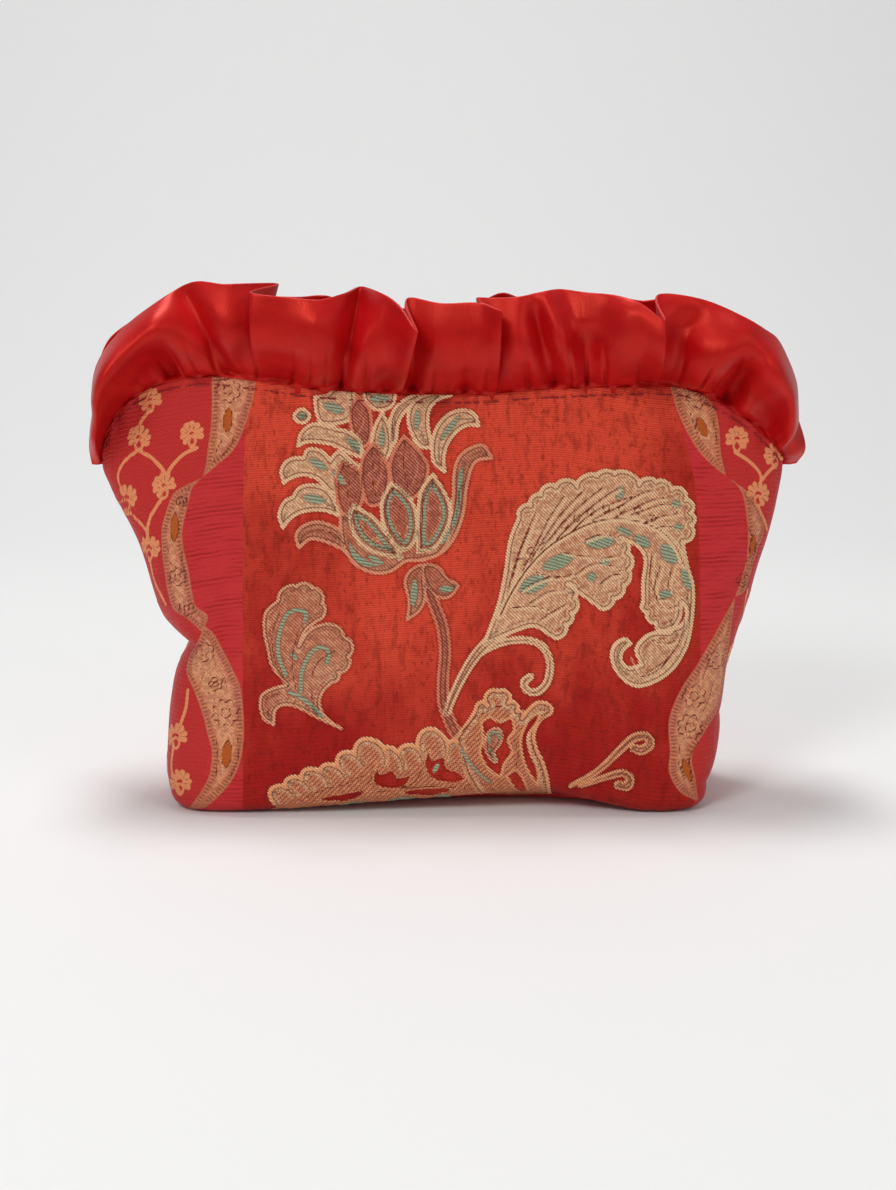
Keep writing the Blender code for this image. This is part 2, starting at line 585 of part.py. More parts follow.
def main():
    clear_scene()
    brocade = material("brocade", BROCADE_RED, 0.55)
    satin = material("satin", SATIN_RED, 0.32)
    lining_cloth = material("lining_cloth", LINING_RED, 0.6)
    tape_weave = material("tape_weave", TAPE_RED, 0.7)
    coil_nylon = material("coil_nylon", COIL_RED, 0.35)
    gilt = material("gilt_metal", GOLD, 0.25, 1.0)
    for side, facing in (("front", -1), ("back", 1)):
        panel(f"{side}_panel", facing, brocade)
        lining(f"{side}_lining", facing, lining_cloth)
        frill(f"{side}_frill", facing, satin)
        tape(f"zip_tape_{side}", facing, tape_weave)
        coil(f"zip_coil_{side}", facing, coil_nylon)
    stops(gilt)
    pull_tab(slider(gilt), gilt)


main()
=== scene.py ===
"""A standing brocade makeup pouch with a gathered satin frill and a top zip, around its CAD frame.

Metres, +Z up, -Y towards the front. Lengths of cloth and thread are written in millimetres
times MM. Points of the woven drawing are pixels of the 896 by 1190 photograph.
"""

import math

import bmesh
import bpy
import numpy as np
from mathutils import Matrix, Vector


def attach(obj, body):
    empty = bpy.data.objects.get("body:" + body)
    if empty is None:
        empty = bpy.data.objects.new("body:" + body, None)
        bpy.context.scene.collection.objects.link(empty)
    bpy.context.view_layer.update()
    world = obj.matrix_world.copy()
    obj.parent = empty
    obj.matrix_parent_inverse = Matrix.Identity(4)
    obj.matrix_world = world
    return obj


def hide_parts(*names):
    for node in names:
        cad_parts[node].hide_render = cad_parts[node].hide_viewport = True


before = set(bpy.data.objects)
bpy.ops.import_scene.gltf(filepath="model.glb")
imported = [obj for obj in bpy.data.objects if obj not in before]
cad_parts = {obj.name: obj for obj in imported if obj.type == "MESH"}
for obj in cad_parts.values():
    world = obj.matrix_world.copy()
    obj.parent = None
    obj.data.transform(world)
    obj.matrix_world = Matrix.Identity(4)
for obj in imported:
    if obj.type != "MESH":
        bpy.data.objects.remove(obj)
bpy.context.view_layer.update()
MM = 0.001

# ---- Camera, sweep and lamps --------------------------------------------------------------
# A phone at arm's length, a little above the pouch, which stands on a white paper sweep under
# broad soft light from above.

PHOTO_SIZE = (896, 1190)
FOCAL_PIXELS = 2167
SENSOR = 36
AIM = Vector((0, 0, 60.5 * MM))
DISTANCE = 0.65
ELEVATION = math.radians(12)

lens = bpy.data.cameras.new("phone")
lens.sensor_width = SENSOR
lens.lens = FOCAL_PIXELS * lens.sensor_width / max(PHOTO_SIZE)
lens.clip_start = 0.01
camera = bpy.data.objects.new("phone", lens)
away = Vector((0, -math.cos(ELEVATION), math.sin(ELEVATION)))
camera.location = AIM + away * DISTANCE
camera.rotation_euler = (-away).to_track_quat("-Z", "Y").to_euler()
bpy.context.scene.collection.objects.link(camera)
bpy.context.scene.camera = camera
bpy.context.scene.view_settings.view_transform = "Standard"


def new_material(name, colour, roughness, **sockets):
    made = bpy.data.materials.new(name)
    made.use_nodes = True
    shader = made.node_tree.nodes["Principled BSDF"]
    shader.inputs["Base Color"].default_value = (*colour, 1)
    shader.inputs["Roughness"].default_value = roughness
    for socket, value in sockets.items():
        shader.inputs[socket.replace("_", " ")].default_value = value
    return made, made.node_tree, shader


SWEEP_WHITE = (0.86, 0.86, 0.855)
SWEEP_FRONT, SWEEP_BACK, SWEEP_BEND, SWEEP_HEIGHT, SWEEP_SIDE = 1.2, 0.9, 0.5, 1.6, 1.6
profile = [(-SWEEP_FRONT, 0.0), (SWEEP_BACK - SWEEP_BEND, 0.0)]
for turn in np.linspace(0, math.pi / 2, 17)[1:]:
    y = SWEEP_BACK - SWEEP_BEND + SWEEP_BEND * math.sin(turn)
    profile.append((y, SWEEP_BEND * (1 - math.cos(turn))))
profile.append((SWEEP_BACK, SWEEP_HEIGHT))
work = bmesh.new()
edges = [[work.verts.new((side, y, z)) for y, z in profile] for side in (-SWEEP_SIDE, SWEEP_SIDE)]
for i in range(len(profile) - 1):
    work.faces.new((edges[0][i], edges[1][i], edges[1][i + 1], edges[0][i + 1]))
paper = bpy.data.meshes.new("sweep")
work.to_mesh(paper)
work.free()
paper.shade_smooth()
sweep = bpy.data.objects.new("sweep", paper)
bpy.context.scene.collection.objects.link(sweep)
sweep.data.materials.append(new_material("white_paper", SWEEP_WHITE, 0.8)[0])

WORLD_LIGHT, WORLD_COLOUR = 0.3, (0.98, 0.99, 1, 1)
LAMPS = (
    # name, place, size, watts
    ("ceiling", (-0.12, 0.1, 1.1), 0.3, 6.4),
    ("window", (-0.5, -0.95, 0.95), 0.4, 5.4),
    ("room", (0.8, -0.7, 0.6), 0.5, 1.4),
)
world = bpy.data.worlds.new("room")
bpy.context.scene.world = world
world.use_nodes = True
world.node_tree.nodes["Background"].inputs["Color"].default_value = WORLD_COLOUR
world.node_tree.nodes["Background"].inputs["Strength"].default_value = WORLD_LIGHT
for name, place, size, watts in LAMPS:
    light = bpy.data.lights.new(name, "AREA")
    light.size = size
    light.energy = watts
    lamp = bpy.data.objects.new(name, light)
    lamp.location = place
    lamp.rotation_euler = (AIM - lamp.location).to_track_quat("-Z", "Y").to_euler()
    bpy.context.scene.collection.objects.link(lamp)


# ---- The body's shape ---------------------------------------------------------------------
# The pouch is two brocade panels, sewn together at the sides and under the base, with boxed
# corners. Every layer of its wall, and the mouth that the frills are sewn to, follows the same
# rounded section, which narrows from the base to the mouth.

# (height, half size) in millimetres
LEFT_OUTLINE = (
    (0, 82), (12, 84), (30, 83.8), (48, 85.5), (60, 87.5), (75, 91.2), (86, 96), (94, 100), (100, 101.8),
    (135, 102),
)
RIGHT_OUTLINE = (
    (0, 76.5), (8, 79), (20, 81), (40, 83), (50, 86), (60, 89.4), (70, 92.1), (80, 95.2), (90, 97.4),
    (100, 98.6), (135, 99),
)
DEPTH_PROFILE = ((0, 28), (14, 29.5), (32, 28.5), (52, 26), (75, 21), (100, 15.5), (115, 12.5), (135, 10.5))
SQUARENESS = ((0, 6.5), (30, 4.6), (60, 3.1), (90, 2.8), (135, 3.0))
# height in millimetres, against the place across from -1, left, to 1, right
MOUTH_LINE = (
    (-1, 99.5), (-0.98, 102.5), (-0.94, 111.5), (-0.89, 118.6), (-0.84, 122.4), (-0.75, 126), (-0.66, 127.2),
    (-0.54, 126), (-0.34, 123.4), (-0.11, 122.2), (0.06, 122), (0.26, 123.4), (0.55, 124.3), (0.64, 124.1),
    (0.7, 122.6), (0.76, 119.8), (0.86, 113.2), (0.91, 108.4), (0.95, 104.5), (0.98, 101.5), (1, 99.5),
)
# (side, height, depth, reach above, reach below) in millimetres
SIDE_PINCHES = ((-1, 48, 10, 4.5, 8), (1, 8, 2.5, 4, 5), (1, 28, 1, 3, 3))
PINCH_STARTS = 0.55
FRONT_LIFT = (
    (-1, 0), (-0.82, 0), (-0.4, 1.8), (0, 4.2), (0.28, 5.5), (0.45, 3.2), (0.62, 0.6), (0.75, 0), (1, 0),
)
BACK_LIFT = ((-1, 0), (-0.75, 0), (-0.3, 2.6), (0.1, 3.6), (0.5, 1.6), (0.75, 0), (1, 0))
RECESS, RECESS_FADE = 6.5 * MM, 22 * MM
# (facing, across from, across to, height from, height to, depth, width)
VALLEYS = (
    (-1, -0.98, -0.42, 51, 56, 3.6, 6.5),
    (-1, -0.1, 0.5, 38, 46, 1.2, 9),
    (1, 0.98, 0.35, 30, 50, 2.6, 8),
    (1, -0.98, -0.45, 50, 58, 2.8, 7),
)
VALLEY_FADE, VALLEY_EDGE = 0.35, 0.86
FOOT_RADIUS = 4 * MM
BASE_LENGTH = 66 * MM
FLAT_SHARE = 0.4
SEAM_GAP = 0.3 * MM
BROCADE = 1.5 * MM


def through(points, where):
    """A smooth curve through (x, y) pairs that doesn't overshoot them."""
    xs, ys = np.array(points, float).T
    gaps = np.diff(xs)
    rises = np.diff(ys) / gaps
    slopes = np.zeros(len(xs))
    turning = rises[:-1] * rises[1:] <= 0
    mean = 2 * rises[:-1] * rises[1:] / np.where(turning, 1, rises[:-1] + rises[1:])
    slopes[1:-1] = np.where(turning, 0, mean)
    slopes[0], slopes[-1] = rises[0], rises[-1]
    where = np.clip(where, xs[0], xs[-1])
    i = np.clip(np.searchsorted(xs, where) - 1, 0, len(gaps) - 1)
    t = (where - xs[i]) / gaps[i]
    start = ys[i] * (1 + 2 * t) * (1 - t) ** 2 + slopes[i] * gaps[i] * t * (1 - t) ** 2
    end = ys[i + 1] * (3 - 2 * t) * t**2 - slopes[i + 1] * gaps[i] * (1 - t) * t**2
    return start + end


def ease(low, high, value):
    t = np.clip((value - low) / (high - low), 0, 1)
    return t * t * (3 - 2 * t)


def quarter_section(share, half_width, half_depth, squareness):
    """A point on a quarter of a rounded section, at a share of its length from the side seam."""
    angle = np.linspace(0, math.pi / 2, 61)
    power = squareness[:, None]
    reach = (np.cos(angle) ** power + np.sin(angle) ** power) ** (-1 / power)
    x = half_width[:, None] * reach * np.cos(angle)
    y = half_depth[:, None] * reach * np.sin(angle)
    steps = np.hypot(np.diff(x, axis=1), np.diff(y, axis=1))
    length = np.concatenate([np.zeros((len(x), 1)), np.cumsum(steps, axis=1)], axis=1)
    length /= length[:, -1:]
    after = np.clip((length < share[:, None]).sum(axis=1), 1, len(angle) - 1)
    row = np.arange(len(x))
    low, high = length[row, after - 1], length[row, after]
    t = (share - low) / (high - low)
    return (
        x[row, after - 1] * (1 - t) + x[row, after] * t,
        y[row, after - 1] * (1 - t) + y[row, after] * t,
    )


def side_pinch(across, height, slack):
    moved = np.zeros_like(height)
    for side, level, depth, above, below in SIDE_PINCHES:
        off = height / MM - level
        near = np.exp(-np.abs(off) / (np.where(off > 0, above, below) + slack / MM))
        moved -= side * depth * MM * near * ease(PINCH_STARTS, 1, across * side)
    return moved


def hollow(across, height, facing, slack):
    lift = FRONT_LIFT if facing < 0 else BACK_LIFT
    most = max(value for _, value in lift)
    deep = RECESS * through(lift, across) / most * np.exp(-((height / (RECESS_FADE + slack)) ** 2))
    for side, start, end, start_height, end_height, depth, width in VALLEYS:
        if side != facing:
            continue
        along = np.clip((across - start) / (end - start), 0, 1)
        off = height / MM - (start_height + (end_height - start_height) * along)
        fade = (1 - ease(VALLEY_FADE, 1, along)) * ease(1, VALLEY_EDGE, np.abs(across))
        deep += depth * MM * np.exp(-((off / (width + slack / MM)) ** 2)) * fade
    return deep


def shell_point(across, height, inset, facing, slack=0.0):
    """(x, y) on the pouch's wall. inset 0 is the outside, and more is deeper into the wall."""
    left, right = through(LEFT_OUTLINE, height / MM), through(RIGHT_OUTLINE, height / MM)
    half_width = np.where(across < 0, left, right) * MM - inset
    half_depth = through(DEPTH_PROFILE, height / MM) * MM - inset
    squareness = through(SQUARENESS, height / MM)
    x, y = quarter_section(1 - np.abs(across), half_width, half_depth, squareness)
    x = x * np.sign(across) + side_pinch(across, height, slack)
    y = np.maximum(y - hollow(across, height, facing, slack), 0)
    return x, facing * (y + SEAM_GAP / 2)


def mouth_height(across):
    return through(MOUTH_LINE, across) * MM


def wall_grid(across, inset, facing, top, steps, slack=0.0):
    """Points of one wall layer, in rows from the base seam up. steps are of base, edge and wall."""
    lift = through(FRONT_LIFT if facing < 0 else BACK_LIFT, across) * MM
    radius = FOOT_RADIUS - inset
    edge_x, edge_y = shell_point(across, lift + inset, inset + radius, facing, slack)
    rows = []
    for step in np.linspace(0, 1, steps[0] + 1):
        x = (1 - step) * across * BASE_LENGTH + step * edge_x
        y = facing * SEAM_GAP / 2 + step * (edge_y - facing * SEAM_GAP / 2)
        z = inset + lift * ease(FLAT_SHARE, 1, np.full_like(across, step))
        rows.append(np.stack([x, y, z], axis=1))
    for turn in np.linspace(0, math.pi / 2, steps[1] + 1)[1:]:
        z = lift + inset + radius * (1 - math.cos(turn))
        x, y = shell_point(across, z, inset + radius * (1 - math.sin(turn)), facing, slack)
        rows.append(np.stack([x, y, z], axis=1))
    start = lift + inset + radius
    for step in np.linspace(0, 1, steps[2] + 1)[1:]:
        z = start + (top - start) * step
        x, y = shell_point(across, z, inset, facing, slack)
        rows.append(np.stack([x, y, z], axis=1))
    return np.array(rows)


def cloth_lengths(grid, first_row):
    """(along the row from the middle, up the column from first_row) in metres, over a grid."""
    rows = np.linalg.norm(np.diff(grid, axis=1), axis=2)
    along = np.concatenate([np.zeros((len(grid), 1)), np.cumsum(rows, axis=1)], axis=1)
    columns = np.linalg.norm(np.diff(grid, axis=0), axis=2)
    up = np.concatenate([np.zeros((1, grid.shape[1])), np.cumsum(columns, axis=0)], axis=0)
    middle = grid.shape[1] // 2
    return np.stack([along - along[:, middle : middle + 1], up - up[first_row]], axis=2)


def walked(line):
    """How far along a line of points each of them is."""
    return np.concatenate([[0], np.cumsum(np.linalg.norm(np.diff(line, axis=0), axis=1))])


def grid_normals(grid):
    normal = np.cross(np.gradient(grid, axis=1), np.gradient(grid, axis=0))
    return normal / np.maximum(np.linalg.norm(normal, axis=2, keepdims=True), 1e-12)


def build(name, points, faces, look, body, fields=None, uv=None):
    """A smooth mesh object, with its fields as point attributes, that rides on a body."""
    mesh = bpy.data.meshes.new(name)
    mesh.from_pydata(np.asarray(points, float).reshape(-1, 3), [], faces)
    for field, values in (fields or {}).items():
        kept = mesh.attributes.new(field, "FLOAT", "POINT")
        kept.data.foreach_set("value", np.ravel(values).astype(np.float32))
    if uv is not None:
        corner = np.empty(len(mesh.loops), np.int64)
        mesh.loops.foreach_get("vertex_index", corner)
        layer = mesh.uv_layers.new(name="Cloth")
        layer.data.foreach_set("uv", np.asarray(uv, float).reshape(-1, 2)[corner].astype(np.float32).ravel())
    mesh.shade_smooth()
    made = bpy.data.objects.new(name, mesh)
    mesh.materials.append(look)
    bpy.context.scene.collection.objects.link(made)
    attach(made, body)
    return made


def quads(rows, columns, start=0, flip=False):
    i, j = np.meshgrid(np.arange(rows - 1), np.arange(columns - 1), indexing="ij")
    low = start + i * columns + j
    ring = [low, low + 1, low + columns + 1, low + columns]
    return np.stack(ring[::-1] if flip else ring, axis=-1).reshape(-1, 4)


# ---- Drawing on the cloth -----------------------------------------------------------------
# The jacquard loom weaves its flowers into the cloth. Here each shape of the drawing is a curve
# through a few points, and what a mesh keeps is how far each of its points lies inside the shape.

PANEL_COLUMNS = 366
PANEL_STEPS = (26, 6, 192)
spread = np.linspace(-1, 1, PANEL_COLUMNS + 1)
OVAL_SIDES, ALMOND_PINCH = 20, 0.4
CURVE_STEPS, LOBE_STEPS = 7, 9
# Pixels to a millimetre of cloth. Where it faces the camera there are 3.3, and where there are
# fewer than this it turns away too far to be drawn on by pixels: its pixels count as out of sight.
TURNED_AWAY = 1.6
OUT_OF_SIGHT = -9999


def seen_pixel(points):
    """Where points show in the photograph. The back is drawn as if it faced the camera too."""
    right = np.array([1, 0, 0])
    up = np.array([0, math.sin(ELEVATION), math.cos(ELEVATION)])
    off = points - np.array(camera.location)
    depth = -(off @ np.array(away))
    x = PHOTO_SIZE[0] / 2 + FOCAL_PIXELS * (off @ right) / depth
    y = PHOTO_SIZE[1] / 2 - FOCAL_PIXELS * (off @ up) / depth
    return np.stack([x, y], axis=-1)


front_grid = wall_grid(spread, 0, -1, mouth_height(spread), PANEL_STEPS)
front_cloth = cloth_lengths(front_grid, PANEL_STEPS[0] + PANEL_STEPS[1]) / MM
chart_rows = slice(PANEL_STEPS[0] + 2, None, 2)
chart_pixels = seen_pixel(front_grid)[chart_rows, ::2]
chart_cloth = front_cloth[chart_rows, ::2]
pixel_steps, cloth_steps = (np.gradient(chart[..., 0], axis=1) for chart in (chart_pixels, chart_cloth))
facing_pixels = np.abs(pixel_steps / cloth_steps)
facing_chart = np.where((facing_pixels > TURNED_AWAY)[..., None], chart_pixels, OUT_OF_SIGHT)


def on_cloth(pixels):
    """Places on the cloth, in millimetres, of pixels of the photograph."""
    found = []
    for pixel in pixels:
        near = np.hypot(*(facing_chart - pixel).transpose(2, 0, 1))
        i, j = np.unravel_index(near.argmin(), near.shape)
        i, j = np.clip(i, 1, near.shape[0] - 2), np.clip(j, 1, near.shape[1] - 2)
        block = (slice(i - 1, i + 2), slice(j - 1, j + 2))
        known = np.column_stack([chart_pixels[block].reshape(-1, 2) - pixel, np.ones(9)])
        found.append(np.linalg.lstsq(known, chart_cloth[block].reshape(-1, 2), rcond=None)[0][2])
    return np.array(found)


def curve(*points):
    """A smooth line through points. A point that is given twice is a corner."""
    points = np.array(points, float)
    corners = [0, *(np.flatnonzero((np.diff(points, axis=0) == 0).all(axis=1)) + 1), len(points)]
    line = []
    for start, end in zip(corners[:-1], corners[1:]):
        part = points[start:end]
        if len(part) < 3:
            line.append(part)
            continue
        ends = np.concatenate([[2 * part[0] - part[1]], part, [2 * part[-1] - part[-2]]])
        t = np.linspace(0, 1, CURVE_STEPS)[:-1, None]
        for a, b, c, d in zip(ends[:-3], ends[1:-2], ends[2:-1], ends[3:]):
            bend, turn = 2 * a - 5 * b + 4 * c - d, 3 * b - a - 3 * c + d
            line.append(0.5 * (2 * b + (c - a) * t + bend * t**2 + turn * t**3))
        line.append(part[-1:])
    return np.concatenate(line)


def lobes(bulge, *notches):
    """A scalloped edge: a round lobe between each two notches, on the left of the way along."""
    notches = np.array(notches, float)
    turn = np.linspace(0, math.pi, LOBE_STEPS)[:-1, None]
    line = []
    for a, b in zip(notches[:-1], notches[1:]):
        out = np.array([(b - a)[1], -(b - a)[0]]) * bulge
        line.append((a + b) / 2 - (b - a) / 2 * np.cos(turn) + out * np.sin(turn))
    return np.concatenate([*line, notches[-1:]])


def outline(*parts):
    return np.concatenate([np.asarray(part, float) for part in parts])


def oval(centre, length, width, tilt, pinch=0.0):
    """An oval, whose ends a pinch makes pointed; tilt is in degrees, anticlockwise from the right."""
    t = np.linspace(0, 2 * math.pi, OVAL_SIDES, endpoint=False)
    x, y = length / 2 * np.cos(t), -width / 2 * np.sin(t) * np.abs(np.sin(t)) ** pinch
    a = math.radians(tilt)
    turned = np.stack([x * math.cos(a) + y * math.sin(a), y * math.cos(a) - x * math.sin(a)], axis=1)
    return turned + centre


def almond(centre, length, width, tilt):
    return oval(centre, length, width, tilt, ALMOND_PINCH)


def nearest(cloth, line, closed=False):
    """How far cloth points are from a line in millimetres, and how far along it, going round
    once if it is closed. Outside a closed line the distance is negative."""
    step = np.roll(line, -1, axis=0) - line
    start, step = (line, step) if closed else (line[:-1], step[:-1])
    near, along = np.full(len(cloth), 1e9), np.zeros(len(cloth))
    inside = np.zeros(len(cloth), bool)
    passed = 0.0
    for (ax, ay), (dx, dy) in zip(start, step):
        px, py = cloth[:, 0] - ax, cloth[:, 1] - ay
        length = math.hypot(dx, dy)
        t = np.clip((px * dx + py * dy) / max(length**2, 1e-9), 0, 1)
        off = (px - t * dx) ** 2 + (py - t * dy) ** 2
        along = np.where(off < near, passed + t * length, along)
        near = np.minimum(near, off)
        passed += length
        if closed and dy != 0:
            inside ^= ((py < 0) != (py - dy < 0)) & (px < py * dx / dy)
    near = np.sqrt(near)
    return (np.where(inside, near, -near) if closed else near), along, passed


class OnCloth(np.ndarray):
    """Points that are places on the cloth in millimetres, not pixels."""


def cloth_points(*points):
    return np.array(points, float).view(OnCloth)


class Weaving:
    """The drawing on one panel: for each cloth point, how far it is inside each kind of thread."""

    FAR = -4.0

    def __init__(self, cloth, place):
        self.cloth = cloth.reshape(-1, 2)
        self.place = place
        fields = ("figure", "own", "comb", "cord", "sage", "dark", "vine", "band", "almond", "field", "tone",
                  "warmth")
        self.fields = {name: np.full(len(self.cloth), self.FAR) for name in fields}
        for name in ("tone", "comb", "warmth"):
            self.fields[name][:] = 0

    def near(self, pixels):
        line = self.place(np.array(pixels) if isinstance(pixels, OnCloth) else on_cloth(pixels))
        low, high = line.min(axis=0) + self.FAR, line.max(axis=0) - self.FAR
        return line, np.flatnonzero(((self.cloth > low) & (self.cloth < high)).all(axis=1))

    def shape(self, pixels, tone=0.5, edge=0.5, rings=()):
        """A filled shape with a cord round it, which hides what was drawn under it. rings are of
        the depth that each starts at in millimetres, and its tone, or None for a ring of sage."""
        line, picked = self.near(pixels)
        if not len(picked):
            return
        f = self.fields
        deep, along, _ = nearest(self.cloth[picked], line, closed=True)
        inside = deep > 0
        f["figure"][picked] = np.maximum(f["figure"][picked], deep)
        for name, value in (("own", deep), ("comb", along), ("sage", self.FAR), ("dark", self.FAR)):
            f[name][picked] = np.where(inside, value, f[name][picked])
        own = edge - np.abs(deep)
        f["cord"][picked] = np.where(inside, own, np.maximum(f["cord"][picked], own))
        tones = np.full(len(picked), float(tone))
        for (start, ring), end in zip(rings, [depth for depth, _ in rings[1:]] + [99]):
            if ring is None:
                band = np.minimum(deep - start, end - deep)
                f["sage"][picked] = np.where(inside, band, f["sage"][picked])
            else:
                tones = np.where(deep > start, ring, tones)
        f["tone"][picked] = np.where(deep > -edge, tones, f["tone"][picked])

    def cover(self, pixels, tone=0.5):
        """A patch of thread without a cord, which hides the drawing under it."""
        line, picked = self.near(pixels)
        deep = nearest(self.cloth[picked], line, closed=True)[0]
        picked, deep = picked[deep > 0], deep[deep > 0]
        f = self.fields
        f["figure"][picked] = np.maximum(f["figure"][picked], deep)
        f["own"][picked], f["cord"][picked], f["tone"][picked] = -self.FAR, self.FAR, tone

    def opening(self, pixels, edge=0.4):
        """A place inside a figure where the ground shows, with a cord round it."""
        line, picked = self.near(pixels)
        deep = nearest(self.cloth[picked], line, closed=True)[0]
        f = self.fields
        inside = deep > 0
        f["figure"][picked] = np.where(inside, -deep, np.minimum(f["figure"][picked], -deep))
        f["cord"][picked] = np.where(inside, edge - deep, np.maximum(f["cord"][picked], edge + deep))

    def inset(self, pixels, layer="sage", width=None):
        """A patch inside a shape, or with a width, a line of that width in millimetres."""
        line, picked = self.near(pixels)
        if not len(picked):
            return
        deep = nearest(self.cloth[picked], line, closed=width is None)[0]
        if width is not None:
            deep = width / 2 - deep
        self.fields[layer][picked] = np.maximum(self.fields[layer][picked], deep)

    def ribbon(self, pixels, start, end, tone=0.5, edge=0.4):
        """A stem that widens from one width to another in millimetres, with a cord round it."""
        line, picked = self.near(pixels)
        if not len(picked):
            return
        off, along, length = nearest(self.cloth[picked], line)
        deep = (start + (end - start) * along / length) / 2 - off
        f = self.fields
        f["figure"][picked] = np.maximum(f["figure"][picked], deep)
        for name, value in (("own", deep), ("comb", along)):
            f[name][picked] = np.where(deep > 0, value, f[name][picked])
        own = edge - np.abs(deep)
        f["cord"][picked] = np.where(deep > 0, own, np.maximum(f["cord"][picked], own))
        f["tone"][picked] = np.where(deep > -edge, tone, f["tone"][picked])

    def warm_patch(self, pixel, radius, amount):
        """A soft patch where the ground is warmer, lighter orange, or cooler, darker red. radius is in millimetres.
        """
        off = np.linalg.norm(self.cloth - self.place(on_cloth([pixel])), axis=1)
        self.fields["warmth"] += amount * np.exp(-((off / radius) ** 2))


# ---- The woven flowers --------------------------------------------------------------------
# A lotus on a bending stem, a big scalloped leaf that curls over beside it, a twin-lobed leaf,
# and an acanthus that runs along the base, all in cream, rose and sage silk with corded edges.

BRONZE, CREAM, PALE, BUFF, ROSE, MAUVE = 1.7, 1.0, 0.8, 0.6, 0.3, 0.1

LOTUS_PETALS = (
    # tone, outline; the ones behind come first
    (BUFF, curve((363, 390), (366, 402), (378, 410), (392, 406), (396, 392), (396, 392), (380, 388), (363, 390))),
    (CREAM, curve((315, 397), (316, 410), (320, 423), (320, 423), (334, 424), (350, 419), (355, 406), (353, 386),
                  (353, 386), (336, 388), (327, 395), (315, 397))),
    (CREAM, curve((420, 392), (408, 398), (397, 406), (390, 421), (389, 450), (389, 450), (396, 440), (398, 424),
                  (406, 410), (420, 401), (420, 401), (420, 392))),
    (MAUVE, curve((358, 396), (370, 412), (370, 440), (360, 446), (352, 430), (350, 410), (358, 396))),
    (PALE, curve((382, 412), (374, 430), (372, 452), (380, 462), (390, 452), (390, 430), (382, 412))),
    (CREAM, curve((452, 395), (452, 395), (440, 399), (430, 408), (428, 424), (432, 448), (432, 448), (420, 446),
                  (411, 432), (408, 416), (414, 402), (430, 394), (452, 395))),
    (CREAM, curve((479, 426), (479, 426), (475, 415), (464, 410), (449, 414), (437, 427), (432, 445), (434, 463),
                  (445, 472), (445, 472), (444, 458), (447, 445), (456, 432), (468, 425), (479, 426))),
    (CREAM, curve((298, 446), (298, 446), (300, 435), (307, 427), (316, 424), (333, 428), (348, 432), (360, 441),
                  (362, 458), (362, 458), (348, 452), (333, 445), (318, 442), (306, 442), (298, 446))),
    (CREAM, curve((284, 483), (284, 483), (281, 472), (285, 463), (293, 458), (304, 458), (304, 458), (307, 450),
                  (315, 449), (324, 453), (330, 461), (330, 461), (338, 452), (348, 458), (361, 470), (356, 490),
                  (339, 492), (330, 492), (330, 492), (318, 479), (303, 475), (291, 478), (284, 483))),
    (CREAM, curve((283, 528), (283, 528), (279, 515), (284, 502), (293, 497), (293, 497), (299, 488), (312, 485),
                  (327, 490), (336, 504), (340, 516), (340, 516), (327, 511), (314, 510), (299, 513), (289, 520),
                  (283, 528))),
    (ROSE, curve((299, 548), (299, 548), (296, 536), (302, 527), (315, 522), (330, 525), (345, 534), (356, 548),
                 (350, 556), (340, 548), (324, 541), (310, 539), (299, 548))),
    (ROSE, curve((492, 458), (492, 458), (484, 446), (473, 447), (460, 456), (454, 473), (453, 501), (446, 530),
                 (423, 560), (423, 560), (441, 553), (454, 538), (463, 514), (467, 484), (475, 462), (492, 458))),
    (MAUVE, curve((342, 461), (342, 461), (336, 480), (338, 503), (350, 524), (362, 500), (362, 474), (342, 461))),
    (MAUVE, curve((373, 443), (373, 443), (363, 458), (361, 478), (368, 504), (384, 500), (389, 476), (384, 458),
                  (373, 443))),
    (MAUVE, curve((404, 436), (404, 436), (394, 452), (390, 472), (400, 500), (420, 492), (428, 468), (418, 450),
                  (404, 436))),
    (ROSE, curve((340, 512), (340, 512), (342, 540), (350, 558), (361, 568), (376, 573), (391, 571), (406, 561),
                 (420, 560), (440, 553), (452, 530), (440, 520), (400, 530), (360, 520), (340, 512))),
)
LOTUS_FRONT_PETALS = (
    (CREAM, curve((353, 506), (353, 506), (350, 518), (357, 538), (373, 551), (401, 558), (401, 558), (397, 549),
                  (386, 533), (371, 516), (353, 506))),
    (CREAM, curve((433, 474), (433, 474), (421, 492), (418, 518), (418, 552), (418, 552), (436, 546), (449, 522),
                  (448, 500), (433, 474))),
    (CREAM, curve((391, 484), (391, 484), (382, 502), (384, 525), (396, 545), (409, 548), (417, 530), (414, 506),
                  (402, 490), (391, 484))),
)
LOTUS_SAGE = (
    almond((334, 408), 22, 10, -20), almond((356, 446), 26, 8, -42), almond((318, 464), 22, 8, -32),
    almond((340, 478), 20, 7, -50), almond((314, 499), 24, 9, -12), almond((380, 399), 20, 9, 0),
    almond((382, 438), 20, 6, 90), almond((417, 420), 22, 6, 85), almond((450, 428), 32, 6, 52),
    almond((302, 416), 9, 7, 0), almond((376, 560), 20, 6, -30),
    curve((464, 462), (458, 478), (457, 500), (452, 522), (440, 545), (452, 534), (459, 514), (462, 486), (464, 462)),
    curve((348, 538), (356, 552), (370, 562), (378, 566), (364, 566), (352, 556), (348, 538)),
)
LOTUS_LINES = (
    curve((356, 513), (361, 528), (374, 543), (396, 554)),
    curve((390, 490), (386, 508), (390, 528), (402, 542)),
    curve((433, 482), (424, 500), (422, 524), (422, 546)),
    curve((374, 460), (372, 476), (376, 496)),
    curve((404, 452), (404, 470), (408, 488)),
    curve((303, 536), (316, 530), (332, 533), (346, 545)),
    curve((350, 476), (348, 494), (352, 510)),
)
